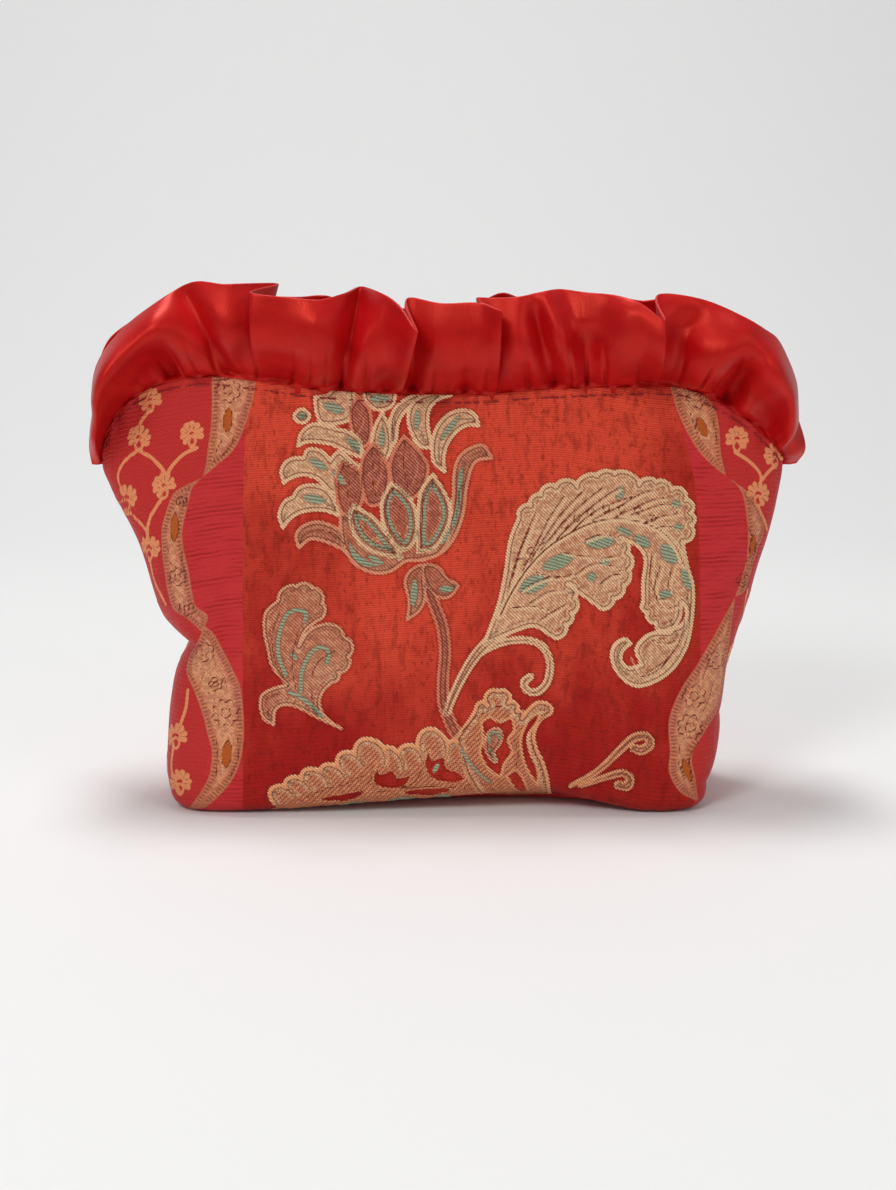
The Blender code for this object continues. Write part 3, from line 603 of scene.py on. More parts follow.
LOTUS_SQUIGGLES = (
    curve((368, 462), (377, 468), (368, 475), (378, 482), (369, 490)),
    curve((398, 452), (407, 458), (399, 466), (410, 472)),
    curve((341, 480), (350, 486), (342, 494), (352, 500)), curve((380, 452), (382, 470), (376, 492)),
    curve((412, 450), (418, 466), (412, 486)), curve((356, 408), (364, 420), (358, 434)),
)
LOTUS_DOT = almond((302, 416), 16, 14, 0)

SEPALS = (
    curve((407, 620), (407, 620), (409, 602), (405, 582), (411, 570), (424, 565), (424, 580), (425, 598), (419, 611),
          (407, 620)),
    curve((459, 585), (459, 585), (447, 578), (438, 567), (424, 565), (424, 580), (434, 594), (444, 598), (452, 595),
          (459, 585)),
)
SEPAL_SAGE = (almond((414, 593), 30, 7, 86), almond((446, 589), 16, 7, 0))
STEM = curve((424, 578), (434, 604), (442, 626), (445, 652), (443, 680), (444, 704), (452, 726), (462, 742))
LEAF_STALK = curve((447, 712), (453, 696), (462, 677), (473, 659), (486, 644), (500, 634))
TENDRIL = curve((462, 676), (478, 655), (498, 644), (516, 640), (532, 641), (544, 648), (550, 664), (547, 682),
                (537, 692), (527, 690), (524, 682), (530, 677))

LEAF = outline(
    curve((484, 644), (498, 606), (505, 575), (510, 541), (519, 517)),
    lobes(0.34, (519, 517), (531, 506), (541, 495), (556, 487), (577, 487)),
    lobes(0.26, (577, 487), (597, 476), (614, 474), (639, 485)),
    lobes(0.3, (639, 485), (656, 482), (671, 490)),
    lobes(0.42, (671, 490), (685, 500), (690, 513), (690, 525), (682, 541)),
    curve((682, 541), (688, 568), (693, 588), (692, 618), (686, 647), (668, 673), (640, 686), (621, 677), (612, 660),
          (614, 646), (624, 639), (631, 643)),
    curve((631, 643), (623, 650), (621, 660), (629, 668), (642, 665), (642, 665), (636, 650), (644, 638), (654, 633),
          (670, 633), (670, 633), (680, 617), (681, 602)),
    lobes(0.4, (681, 602), (669, 628), (656, 622), (648, 612), (643, 603)),
    curve((643, 603), (643, 582), (645, 558), (636, 545), (620, 538)),
    lobes(0.3, (620, 538), (627, 553), (628, 570), (623, 585), (613, 598), (600, 608)),
    curve((600, 608), (584, 596), (567, 584)),
    lobes(0.36, (567, 584), (574, 598), (571, 613), (565, 624), (553, 637)),
    curve((553, 637), (534, 626), (512, 632), (484, 644)),
)
LEAF_SAGE = (
    almond((600, 542), 30, 13, 4), almond((558, 562), 34, 14, 22), almond((534, 584), 33, 16, 24),
    almond((624, 531), 18, 7, -20), almond((642, 541), 20, 10, -32), almond((669, 554), 24, 15, -52),
    almond((686, 579), 24, 8, -72), almond((592, 577), 10, 9, 40), almond((605, 562), 10, 8, 30),
    almond((620, 493), 14, 8, 75), almond((666, 594), 16, 8, 10), almond((676, 504), 9, 8, 0),
    almond((678, 527), 9, 7, 0),
)
LEAF_RIB = curve((500, 616), (512, 592), (528, 568), (546, 549), (567, 535), (589, 524), (611, 519), (636, 521),
                 (659, 530), (675, 546), (684, 566))
LEAF_RINGS = (
    (522, 562), (531, 551), (541, 541), (552, 532), (564, 525), (577, 518), (591, 512), (606, 508), (622, 509),
    (638, 511), (652, 518),
)
LEAF_LINES = (
    curve((512, 580), (520, 552), (530, 528)), curve((530, 562), (548, 532), (566, 508), (582, 492)),
    curve((556, 540), (578, 518), (600, 500), (618, 488)), curve((592, 520), (616, 508), (640, 494), (652, 490)),
    curve((630, 515), (650, 508), (668, 504), (680, 514)), curve((655, 528), (668, 526), (680, 532)),
    curve((520, 590), (540, 580), (560, 576)), curve((512, 608), (532, 606), (554, 612)),
    curve((536, 572), (556, 578), (572, 574)), curve((560, 552), (582, 556), (600, 558), (616, 556)),
    curve((584, 540), (604, 534), (620, 540)), curve((600, 584), (610, 576), (620, 574)),
    curve((652, 552), (650, 576), (656, 596), (668, 600)), curve((672, 566), (668, 588), (676, 598)),
    curve((628, 656), (640, 676), (660, 668), (674, 650)), curve((652, 640), (664, 644), (676, 640)),
    curve((508, 590), (516, 560), (526, 534), (536, 512)),
    curve((522, 572), (536, 545), (548, 520), (564, 496)),
    curve((540, 551), (560, 526), (582, 504), (602, 488)),
    curve((570, 533), (592, 513), (616, 502), (634, 496)),
    curve((615, 517), (634, 508), (652, 500), (664, 498)),
    curve((645, 522), (662, 516), (676, 514)),
    curve((528, 604), (548, 592), (566, 590)),
    curve((540, 620), (552, 612), (566, 604)),
    curve((575, 575), (592, 564), (612, 566), (622, 572)),
    curve((660, 566), (654, 590), (662, 608), (676, 606)),
    curve((684, 606), (682, 634), (668, 658), (644, 674)),
)

TWIN_LEAF = outline(
    curve((342, 729), (327, 718), (320, 706), (322, 693), (332, 682)),
    lobes(-0.35, (332, 682), (338, 672), (348, 656), (345, 638)),
    curve((345, 638), (339, 627), (325, 624), (309, 631), (299, 646), (299, 646), (305, 631), (318, 620)),
    lobes(-0.3, (318, 620), (322, 603), (312, 588), (297, 587), (279, 600)),
    curve((279, 600), (266, 612), (264, 630), (268, 650), (272, 666), (287, 685), (287, 685), (274, 688), (262, 695),
          (260, 706), (264, 719), (274, 725), (274, 725), (275, 711), (283, 705), (297, 707), (316, 717), (342, 729)),
)
TWIN_LEAF_LINES = (
    curve((290, 690), (276, 664), (272, 636), (280, 612)), curve((312, 700), (312, 676), (320, 660), (336, 650)),
    curve((296, 692), (292, 660), (298, 634)), curve((266, 700), (278, 694), (290, 694)),
)
TWIN_LEAF_SAGE = (
    curve((286, 675), (279, 656), (279, 636), (286, 616), (297, 610), (306, 613), (305, 621)),
    curve((301, 691), (302, 671), (311, 653), (321, 647), (329, 652), (327, 663)),
    curve((290, 692), (302, 698), (314, 708), (322, 716)),
    curve((292, 654), (296, 658)),
)

ACANTHUS = curve((266, 812), (284, 801), (306, 793), (334, 784), (352, 774), (372, 764), (392, 770), (412, 768),
                 (432, 756), (450, 764), (470, 768), (492, 780), (520, 806), (520, 806), (400, 812), (262, 826),
                 (262, 826), (266, 812))
ACANTHUS_LOBES = (
    # centre, length, width, tilt; the ones behind come first
    ((456, 757), 34, 26, 100), ((433, 747), 38, 30, 112), ((411, 760), 32, 26, 118), ((391, 762), 34, 24, 126),
    ((371, 756), 38, 30, 128), ((352, 766), 34, 24, 138), ((334, 777), 32, 22, 142), ((316, 781), 32, 22, 146),
    ((299, 788), 30, 20, 150), ((283, 796), 28, 20, 156),
)
ACANTHUS_FLAMES = (
    curve((377, 762), (380, 774), (392, 770), (398, 778), (410, 776), (404, 786), (388, 788), (374, 782), (377, 762)),
    curve((430, 748), (432, 760), (444, 757), (446, 768), (458, 772), (464, 780), (446, 782), (430, 776), (425, 762),
          (430, 748)),
    curve((316, 799), (340, 794), (366, 790), (348, 799), (316, 799)),
    curve((398, 792), (424, 788), (452, 788), (430, 794), (398, 792)),
)
ACANTHUS_SAGE = (
    almond((352, 804), 34, 6, 8), almond((402, 799), 30, 6, 6), almond((444, 796), 22, 6, 2),
    almond((436, 768), 12, 5, 60),
)
ACANTHUS_LINES = (
    curve((284, 812), (330, 802), (376, 792), (430, 786), (480, 788)),
    curve((300, 800), (322, 790), (344, 784), (366, 774)),
    curve((366, 786), (372, 776), (372, 762)), curve((398, 788), (414, 782), (422, 770)),
    curve((462, 790), (474, 782), (490, 786), (502, 796)), curve((330, 812), (372, 806), (420, 802), (470, 802)),
)
ORNAMENT = outline(
    curve((456, 738), (468, 722), (476, 709)),
    lobes(0.45, (476, 709), (488, 706), (499, 691), (508, 703), (517, 711), (522, 718)),
    curve((522, 718), (530, 708), (539, 702), (550, 705), (551, 713), (541, 719), (534, 733), (536, 748), (543, 763),
          (548, 782), (550, 806), (550, 806), (500, 806), (470, 780), (456, 738)),
)
ORNAMENT_HOLES = (
    curve((481, 722), (490, 717), (500, 722), (511, 718), (514, 730), (508, 740), (512, 752), (504, 764), (500, 776),
          (488, 768), (480, 752), (483, 738), (481, 722)),
    curve((527, 722), (533, 716), (540, 712), (537, 722), (528, 736), (530, 752), (537, 768), (538, 784), (530, 774),
          (523, 758), (521, 738), (527, 722)),
    curve((506, 776), (516, 770), (524, 780), (528, 794), (518, 790), (506, 776)),
)
ORNAMENT_LEAF = curve((488, 732), (496, 728), (502, 734), (500, 744), (494, 752), (497, 762), (490, 758), (485, 746),
                      (488, 732))
ORNAMENT_SAGE = (
    curve((489, 742), (490, 734), (497, 732), (500, 738)), curve((489, 748), (494, 756), (495, 762)),
    curve((460, 748), (468, 760), (478, 772), (490, 782)),
)
ORNAMENT_LINES = (
    curve((462, 732), (474, 718), (486, 712), (500, 706), (512, 714)), curve((514, 738), (518, 752), (516, 766)),
    curve((544, 708), (546, 714), (538, 722)), curve((532, 740), (536, 756), (542, 774), (545, 794)),
    curve((488, 790), (504, 786), (518, 798)),
)
RIGHT_TENDRILS = (
    curve((570, 786), (596, 772), (616, 754), (632, 739), (646, 736), (650, 744), (642, 750), (634, 748)),
    curve((580, 786), (606, 777), (622, 773), (630, 778), (627, 786), (619, 785)),
)


# Widths of stems at their start and end, of cords round shapes, and of lines, in millimetres
STEM_WIDTHS, TENDRIL_WIDTHS, STALK_WIDTHS, SCROLL_WIDTHS = (2.6, 2.9), (1.4, 1.6), (1.6, 3.0), (0.8, 2.4)
LEAF_CORD, LOBE_CORD, THIN_CORD, LITTLE_LEAF_CORD, FLAME_CORD, SCROLL_CORD = 0.55, 0.6, 0.4, 0.35, 0.2, 0.3
RIB_WIDTH, RIB_LINE, DRAWN_WIDTH, CIRCLE_WIDTH, VEIN_WIDTH, SQUIGGLE_WIDTH = 2.2, 0.5, 0.4, 0.35, 0.8, 0.6
ORNAMENT_SAGE_WIDTH, TWIN_SAGE_WIDTH = 0.9, 1.2
# Pixels: the circles on the leaf's rib, and the pale vein beside each drawn line of the leaf
RING_SIZE, VEIN_OFFSET = 7, (3, 2)
TWIN_TONE = 0.4
LOTUS_RINGS = ((0.8, MAUVE), (1.3, None), (2.3, BUFF), (2.9, MAUVE))
LEAF_EDGE_RINGS = ((1.6, ROSE), (2.1, PALE))
TWIN_RINGS = ((1.4, MAUVE), (1.8, TWIN_TONE))
LOBE_RINGS, ORNAMENT_RINGS = ((1.0, ROSE), (1.4, BRONZE)), ((1.5, ROSE), (1.9, BRONZE))


def draw_flowers(weaving):
    weaving.ribbon(STEM, *STEM_WIDTHS, MAUVE)
    weaving.ribbon(TENDRIL, *TENDRIL_WIDTHS, PALE)
    weaving.ribbon(LEAF_STALK, *STALK_WIDTHS, BUFF)
    for tone, petal in LOTUS_PETALS:
        weaving.shape(petal, tone)
    for tone, petal in LOTUS_FRONT_PETALS:
        weaving.shape(petal, tone, rings=LOTUS_RINGS)
    weaving.shape(LOTUS_DOT, CREAM)
    for sepal, patch in zip(SEPALS, SEPAL_SAGE):
        weaving.shape(sepal, ROSE, edge=THIN_CORD)
        weaving.inset(patch)
    weaving.shape(LEAF, CREAM, edge=LEAF_CORD, rings=LEAF_EDGE_RINGS)
    for centre in LEAF_RINGS:
        weaving.inset(oval(centre, RING_SIZE, RING_SIZE, 0), "dark", CIRCLE_WIDTH)
    weaving.inset(LEAF_RIB, "cord", RIB_WIDTH)
    weaving.inset(LEAF_RIB, "dark", RIB_LINE)
    weaving.shape(TWIN_LEAF, TWIN_TONE, edge=THIN_CORD, rings=TWIN_RINGS)
    for lobe in ACANTHUS_LOBES:
        weaving.shape(oval(*lobe), BRONZE, edge=LOBE_CORD, rings=LOBE_RINGS)
    weaving.cover(ACANTHUS, BRONZE)
    for patch in ACANTHUS_FLAMES:
        weaving.opening(patch, FLAME_CORD)
    weaving.shape(ORNAMENT, BRONZE, rings=ORNAMENT_RINGS)
    for patch in ORNAMENT_HOLES:
        weaving.opening(patch)
    weaving.shape(ORNAMENT_LEAF, ROSE, edge=LITTLE_LEAF_CORD)
    for line in ORNAMENT_SAGE:
        weaving.inset(line, "sage", ORNAMENT_SAGE_WIDTH)
    for patch in LOTUS_SAGE + LEAF_SAGE + ACANTHUS_SAGE:
        weaving.inset(patch)
    for line in TWIN_LEAF_SAGE:
        weaving.inset(line, "sage", TWIN_SAGE_WIDTH)
    for line in LEAF_LINES:
        weaving.inset(line + VEIN_OFFSET, "cord", VEIN_WIDTH)
    for line in LOTUS_SQUIGGLES:
        weaving.inset(line, "cord", SQUIGGLE_WIDTH)
    for line in LOTUS_LINES + LEAF_LINES + TWIN_LEAF_LINES + ACANTHUS_LINES + ORNAMENT_LINES:
        weaving.inset(line, "dark", DRAWN_WIDTH)
    for line in RIGHT_TENDRILS:
        weaving.ribbon(line, *SCROLL_WIDTHS, BRONZE, edge=SCROLL_CORD)


# ---- The woven stripes --------------------------------------------------------------------
# Beside the flowers the cloth has a ribbed crimson stripe, then a gold ribbon of leaf shapes
# that join at their points, and past it a red ground with a vine of small bead flowers.

FIELD_EDGE = curve(
    (247, 380), (247, 380), (243, 520), (243, 700), (243, 830), (243, 830), (700, 830), (700, 830), (700, 600),
    (694, 480), (668, 380), (668, 380), (247, 380),
)
BANDS = (
    curve((212, 372), (212, 400), (211, 425), (208, 447), (206, 464), (203, 477), (203, 477), (216, 466), (230, 454),
          (239, 441), (247, 420), (254, 396), (256, 372), (256, 372), (212, 372)),
    curve((203, 477), (203, 477), (185, 486), (174, 493), (167, 509), (162, 528), (162, 549), (165, 572), (168, 591),
          (174, 609), (186, 617), (202, 632), (202, 632), (208, 616), (196, 606), (192, 591), (189, 572), (183, 545),
          (183, 527), (189, 500), (193, 487), (203, 477)),
    curve((204, 626), (204, 626), (198, 641), (190, 656), (187, 672), (194, 690), (202, 712), (208, 735), (212, 752),
          (209, 776), (198, 796), (184, 812), (184, 812), (206, 806), (228, 786), (240, 762), (244, 730), (241, 690),
          (233, 670), (224, 652), (214, 634), (204, 626)),
    curve((668, 378), (672, 393), (677, 410), (686, 430), (698, 450), (712, 465), (726, 476), (726, 476), (721, 453),
          (719, 427), (714, 407), (700, 390), (690, 378), (690, 378), (668, 378)),
    curve((726, 476), (726, 476), (741, 491), (746, 513), (748, 539), (745, 565), (735, 597), (735, 597), (746, 588),
          (756, 553), (764, 531), (761, 513), (749, 493), (726, 476)),
    curve((735, 597), (735, 597), (718, 628), (698, 663), (680, 691), (669, 720), (670, 752), (669, 772), (680, 792),
          (698, 801), (698, 801), (695, 778), (692, 755), (703, 734), (715, 714), (724, 690), (728, 650), (735, 597)),
)
BAND_ALMONDS = (
    almond((228, 420), 26, 9, 84), almond((175, 527), 30, 8, 88), almond((227, 754), 28, 10, 84),
    almond((702, 427), 22, 9, -66), almond((687, 770), 24, 8, -70), almond((752, 545), 22, 6, 80),
)


def blossom(centre, radius, petals, turned=0.0):
    """The outline of a flower with round petals, in pixels."""
    t = np.linspace(0, 2 * math.pi, petals * PETAL_STEPS + 1)
    reach = radius * (PETAL_LOW + (1 - PETAL_LOW) * np.abs(np.sin(petals * t / 2 + turned)))
    return np.stack([centre[0] + reach * np.cos(t), centre[1] + reach * np.sin(t)], axis=1)


# Blossoms on the ribbons: place, radius, petals
BLOSSOMS = (
    ((228, 390), 13, 7), ((178, 577), 9, 6), ((187, 608), 8, 6), ((205, 652), 10, 6), ((226, 713), 14, 8),
    ((216, 684), 7, 5), ((697, 398), 11, 7), ((715, 660), 9, 6), ((694, 696), 12, 7), ((690, 727), 13, 8),
    ((743, 580), 7, 5), ((182, 502), 6, 5),
)
BAND_CURLS = (
    curve((222, 440), (217, 450), (214, 462)), curve((235, 430), (232, 444), (222, 456)),
    curve((168, 548), (170, 562), (176, 566)), curve((183, 548), (182, 560), (186, 572)),
    curve((196, 664), (204, 672), (202, 684), (210, 694)), curve((214, 662), (222, 672), (228, 690)),
    curve((216, 736), (218, 756), (216, 776)), curve((238, 738), (238, 758), (230, 778)),
    curve((690, 412), (698, 436), (710, 452)), curve((712, 414), (716, 436), (718, 452)),
    curve((724, 640), (716, 646), (706, 668), (702, 680)), curve((702, 712), (708, 700), (712, 684)),
    curve((680, 744), (678, 760), (684, 780)), curve((698, 742), (690, 756), (690, 776)),
    curve((744, 520), (752, 540), (746, 562)), curve((756, 520), (758, 540), (750, 566)),
)
# Bead flowers: place and tilt of each, in degrees from upright
BEAD_FLOWERS = (
    ((139, 438), 0), ((192, 434), 18), ((164, 486), 30), ((126, 497), -10), ((149, 548), -10), ((180, 782), 0),
    ((176, 736), 10), ((150, 400), 20), ((737, 439), -12), ((758, 494), -30), ((775, 455), 10),
)
VINES = (
    curve((138, 450), (124, 462), (118, 476), (122, 490)),
    curve((138, 450), (152, 458), (163, 470), (166, 478)),
    curve((197, 448), (184, 454), (172, 466), (167, 476)),
    curve((126, 508), (138, 520), (146, 530), (149, 540)),
    curve((161, 500), (152, 514), (148, 526), (148, 536)),
    curve((149, 558), (154, 580), (166, 604)),
    curve((181, 794), (172, 770), (174, 744)),
    curve((180, 726), (186, 708), (188, 690)),
    curve((150, 410), (142, 420), (138, 430)),
    curve((735, 452), (750, 462), (760, 474), (760, 486)),
    curve((776, 464), (768, 472), (762, 480)),
    curve((757, 505), (764, 520), (768, 530)),
)
# Bead flowers: how many beads, their ring in pixels, their width in millimetres, the arc they
# stand on in degrees, how much higher it is than wide, and how far each bead reaches inwards
BEAD_COUNT, BEAD_RING, BEAD_SIZE = 8, 9.5, 1.75
BEAD_ARC, BEAD_RISE, BEAD_INNER, SIDE_BEAD_LENGTH = (-30, 210), 1.1, 0.55, 0.45
# The dark lines between beads: turn in degrees, and reach from the middle in pixels
GAP_TURN, GAP_OUTER, GAP_INNER, GAP_WIDTH = 15, (12, 13), 5, 0.3
BEAD_STALK_DROP, BEAD_STALK = 7, (11, 7, 90)
BEAD_STALK_WIDTH, VINE_WIDTH, SIDE_STALK_WIDTH = 0.8, 1.1, 0.9
# Blossoms on the ribbons: the round middle's share of the radius, its petals and its turn
BLOSSOM_MIDDLE, MIDDLE_PETALS, MIDDLE_TURN, BLOSSOM_LINE = 0.4, 5, 1.0, 0.45
PETAL_STEPS, PETAL_LOW = 8, 0.72
# The vine on the sides, which the photograph doesn't show: its middle, sway and wave, and its
# flowers' heights, in millimetres of cloth
SIDE_MIDDLE, SIDE_SWAY, SIDE_WAVE, SIDE_FLOWERS = 96, 4, 34, (8, 25, 42, 59)
SIDE_HEIGHTS, SIDE_STEPS = (-4, 62), 30
SIDE_OUT, STALK_LOW, STALK_HIGH = 6, 6, 2
BEAD_SHARE = 0.3
# Soft patches of the ground: most are lighter orange high on the panel, and two are darker red low on it
PANEL_WARM_PATCHES = (
    # pixel, radius in millimetres, warmth
    ((570, 425), 26, 0.75), ((400, 620), 30, 0.45), ((290, 410), 22, 0.75), ((470, 520), 20, 0.3),
    ((640, 620), 26, 0.05), ((320, 770), 22, -0.35), ((600, 760), 26, -0.2), ((480, 420), 14, 0.35),
    ((280, 480), 14, 0.25), ((575, 640), 16, 0.2), ((480, 780), 16, 0.2),
)


def draw_stripes(weaving):
    weaving.inset(FIELD_EDGE, "field")
    for band in BANDS:
        weaving.inset(band, "band")
        line, picked = weaving.near(band)
        deep, along, _ = nearest(weaving.cloth[picked], line, closed=True)
        weaving.fields["comb"][picked] = np.where(deep > 0, along, weaving.fields["comb"][picked])
    for centre, radius, petals in BLOSSOMS:
        weaving.inset(blossom(centre, radius, petals), "dark", BLOSSOM_LINE)
        middle = blossom(centre, radius * BLOSSOM_MIDDLE, MIDDLE_PETALS, MIDDLE_TURN)
        weaving.inset(middle, "dark", DRAWN_WIDTH)
    for line in BAND_CURLS:
        weaving.inset(line, "dark", DRAWN_WIDTH)
    for patch in BAND_ALMONDS:
        weaving.inset(patch, "dark", DRAWN_WIDTH)
        weaving.inset(patch, "almond")
    for line in VINES:
        weaving.inset(line, "vine", VINE_WIDTH)
    for (x, y), tilt in BEAD_FLOWERS:
        for turn in np.radians(np.linspace(*BEAD_ARC, BEAD_COUNT) + tilt):
            bead = (x + BEAD_RING * math.cos(turn), y - BEAD_RING * BEAD_RISE * math.sin(turn))
            inner = (x + (bead[0] - x) * BEAD_INNER, y + (bead[1] - y) * BEAD_INNER)
            weaving.inset([bead, inner], "vine", BEAD_SIZE)
            gap = turn + math.radians(GAP_TURN)
            outer = (x + GAP_OUTER[0] * math.cos(gap), y - GAP_OUTER[1] * math.sin(gap))
            inner = (x + GAP_INNER * math.cos(gap), y - GAP_INNER * math.sin(gap))
            weaving.inset([inner, outer], "dark", GAP_WIDTH)
        weaving.inset(almond((x, y + BEAD_STALK_DROP), *BEAD_STALK), "vine", BEAD_STALK_WIDTH)
    for side in (-1, 1):
        height = np.linspace(*SIDE_HEIGHTS, SIDE_STEPS)
        sway = side * (SIDE_MIDDLE + SIDE_SWAY * np.sin(2 * math.pi * height / SIDE_WAVE))
        weaving.inset(np.stack([sway, height], axis=1).view(OnCloth), "vine", VINE_WIDTH)
        for i, level in enumerate(SIDE_FLOWERS):
            out = side * (SIDE_MIDDLE + (SIDE_OUT if i % 2 else -SIDE_OUT))
            low = level - STALK_LOW
            stalk = side * (SIDE_MIDDLE + SIDE_SWAY * math.sin(2 * math.pi * low / SIDE_WAVE))
            weaving.inset(cloth_points((stalk, low), (out, level - STALK_HIGH)), "vine", SIDE_STALK_WIDTH)
            for turn in np.radians(np.linspace(*BEAD_ARC, BEAD_COUNT)):
                way = np.array([math.cos(turn), BEAD_RISE * math.sin(turn)]) * BEAD_RING * BEAD_SHARE
                bead = np.array([out, level]) + way
                weaving.inset(cloth_points(bead, bead - way * SIDE_BEAD_LENGTH), "vine", BEAD_SIZE)
    for blotch in PANEL_WARM_PATCHES:
        weaving.warm_patch(*blotch)


# ---- Brocade: threads and colours ---------------------------------------------------------
# Silk and metallic jacquard. The ground is orange red with darker slubs in the middle and
# crimson with cross ribs beside it; the figures stand a little proud of it in diagonal twill.


def wire(tree, kind, inputs=(), output=0, **settings):
    """Adds a node, sets or links its inputs by index or name, and returns one of its outputs."""
    made = tree.nodes.new("ShaderNode" + kind)
    for key, value in settings.items():
        setattr(made, key, value)
    for key, value in dict(inputs).items():
        if isinstance(value, bpy.types.NodeSocket):
            tree.links.new(value, made.inputs[key])
        else:
            made.inputs[key].default_value = value
    return made.outputs[output]


def field_of(tree, name):
    return wire(tree, "Attribute", output="Fac", attribute_name=name)


def over(tree, low, high, value):
    """0 below low and 1 above high, with a soft step between."""
    return wire(tree, "MapRange", {0: value, 1: low, 2: high}, interpolation_type="SMOOTHSTEP")


def blend_colours(tree, share, first, second, blend_type="MIX"):
    return wire(tree, "Mix", {0: share, 6: first, 7: second}, output=2, data_type="RGBA", blend_type=blend_type)


def maths(tree, operation, *values):
    return wire(tree, "Math", dict(enumerate(values)), operation=operation)


def set_bump(tree, shader, height, distance, strength):
    sizes = {"Height": height, "Distance": distance, "Strength": strength}
    tree.links.new(wire(tree, "Bump", sizes, output="Normal"), shader.inputs["Normal"])


def share(tree, amount, times):
    return maths(tree, "MULTIPLY", amount, times)


def new_group(name, inputs, outputs):
    """A node group with named sockets; returns its tree, its inputs and its output node."""
    tree = bpy.data.node_groups.new(name, "ShaderNodeTree")
    for label, kind, value in inputs:
        socket = tree.interface.new_socket(label, in_out="INPUT", socket_type="NodeSocket" + kind)
        socket.default_value = value
    for label, kind in outputs:
        tree.interface.new_socket(label, in_out="OUTPUT", socket_type="NodeSocket" + kind)
    entry, end = tree.nodes.new("NodeGroupInput"), tree.nodes.new("NodeGroupOutput")
    return tree, entry.outputs, end.inputs


def use_group(tree, group, output, **inputs):
    made = tree.nodes.new("ShaderNodeGroup")
    made.node_tree = group
    for key, value in inputs.items():
        socket = made.inputs[key.replace("_", " ")]
        if isinstance(value, bpy.types.NodeSocket):
            tree.links.new(value, socket)
        else:
            socket.default_value = value
    return made.outputs[output]


# Threads: parallel rows across the cloth. Rows is how many there are in a metre, along x and y.
threads, given, result = new_group(
    "Threads",
    (("Rows", "Vector", (0, 1000, 0)), ("Waver", "Float", 0.4), ("Waver Size", "Float", 300.0)),
    (("Height", "Float"),),
)
place = wire(threads, "UVMap", uv_map="Cloth")
count = wire(threads, "VectorMath", {0: place, 1: given["Rows"]}, output="Value", operation="DOT_PRODUCT")
bent = wire(threads, "TexNoise", {"Vector": place, "Scale": given["Waver Size"], "Detail": 2.0})
bent = maths(threads, "MULTIPLY", maths(threads, "SUBTRACT", bent, 0.5), given["Waver"])
turns = maths(threads, "MULTIPLY", maths(threads, "ADD", count, bent), 2 * math.pi)
wave = maths(threads, "SINE", turns)
threads.links.new(maths(threads, "MULTIPLY_ADD", wave, 0.5, 0.5), result["Height"])

# Slubs: uneven dye and thick places, and the speckle of the painted glints on the gold, stretched along the cloth by
# Stretch.
slubs, given, result = new_group(
    "Slubs",
    (("Stretch", "Vector", (1, 0.3, 1)), ("Size", "Float", 300.0), ("Detail", "Float", 4.0)),
    (("Amount", "Float"),),
)
place = wire(slubs, "UVMap", uv_map="Cloth")
place = wire(slubs, "VectorMath", {0: place, 1: given["Stretch"]}, operation="MULTIPLY")
noise = {"Vector": place, "Scale": given["Size"], "Detail": given["Detail"], "Roughness": 0.6}
slubs.links.new(wire(slubs, "TexNoise", noise), result["Amount"])

FIELD_ORANGE, FIELD_RED, FIELD_DARK = (0.86, 0.082, 0.040, 1), (0.43, 0.008, 0.008, 1), (0.17, 0.004, 0.004, 1)
STRIPE_LIGHT, STRIPE_DARK = (0.62, 0.030, 0.040, 1), (0.36, 0.006, 0.014, 1)
OUTER_RED = (0.62, 0.036, 0.034, 1)
CREAM_SILK, ROSE_SILK, MAUVE_SILK = (0.97, 0.72, 0.41, 1), (0.76, 0.22, 0.12, 1), (0.68, 0.23, 0.16, 1)
ROSE_CORD, GOLD_THREAD, ALMOND_ORANGE = (0.82, 0.27, 0.15, 1), (0.94, 0.34, 0.12, 1), (0.55, 0.12, 0.02, 1)
GOLD_BRIGHT, GOLD_SHADE, BRONZE_SILK = (0.97, 0.48, 0.22, 1), (0.26, 0.05, 0.025, 1), (0.90, 0.46, 0.21, 1)
SAGE_SILK, SAGE_DARK, DRAWN_LINE = (0.38, 0.50, 0.33, 1), (0.22, 0.19, 0.11, 1), (0.20, 0.022, 0.014, 1)
WEAVE_BUMP = 0.2 * MM

brocade, tree, shader = new_material("brocade", (0.5, 0.05, 0.04), 0.5)
picks = use_group(tree, threads, "Height", Rows=(0, 1500, 0), Waver=0.5)
ribs = use_group(tree, threads, "Height", Rows=(0, 760, 0), Waver=1.1, Waver_Size=120.0)
twill = use_group(tree, threads, "Height", Rows=(980, 980, 0), Waver=0.5)
cross_twill = use_group(tree, threads, "Height", Rows=(-620, 620, 0), Waver=0.5)
sage_ribs = use_group(tree, threads, "Height", Rows=(240, 1050, 0), Waver=0.6)
flecks = use_group(tree, slubs, "Amount", Stretch=(1, 0.5, 1), Size=900.0, Detail=4.0)
bark = use_group(tree, slubs, "Amount", Stretch=(1, 0.36, 1), Size=420.0, Detail=6.0)
patches = use_group(tree, slubs, "Amount", Stretch=(1, 0.7, 1), Size=70.0, Detail=3.0)


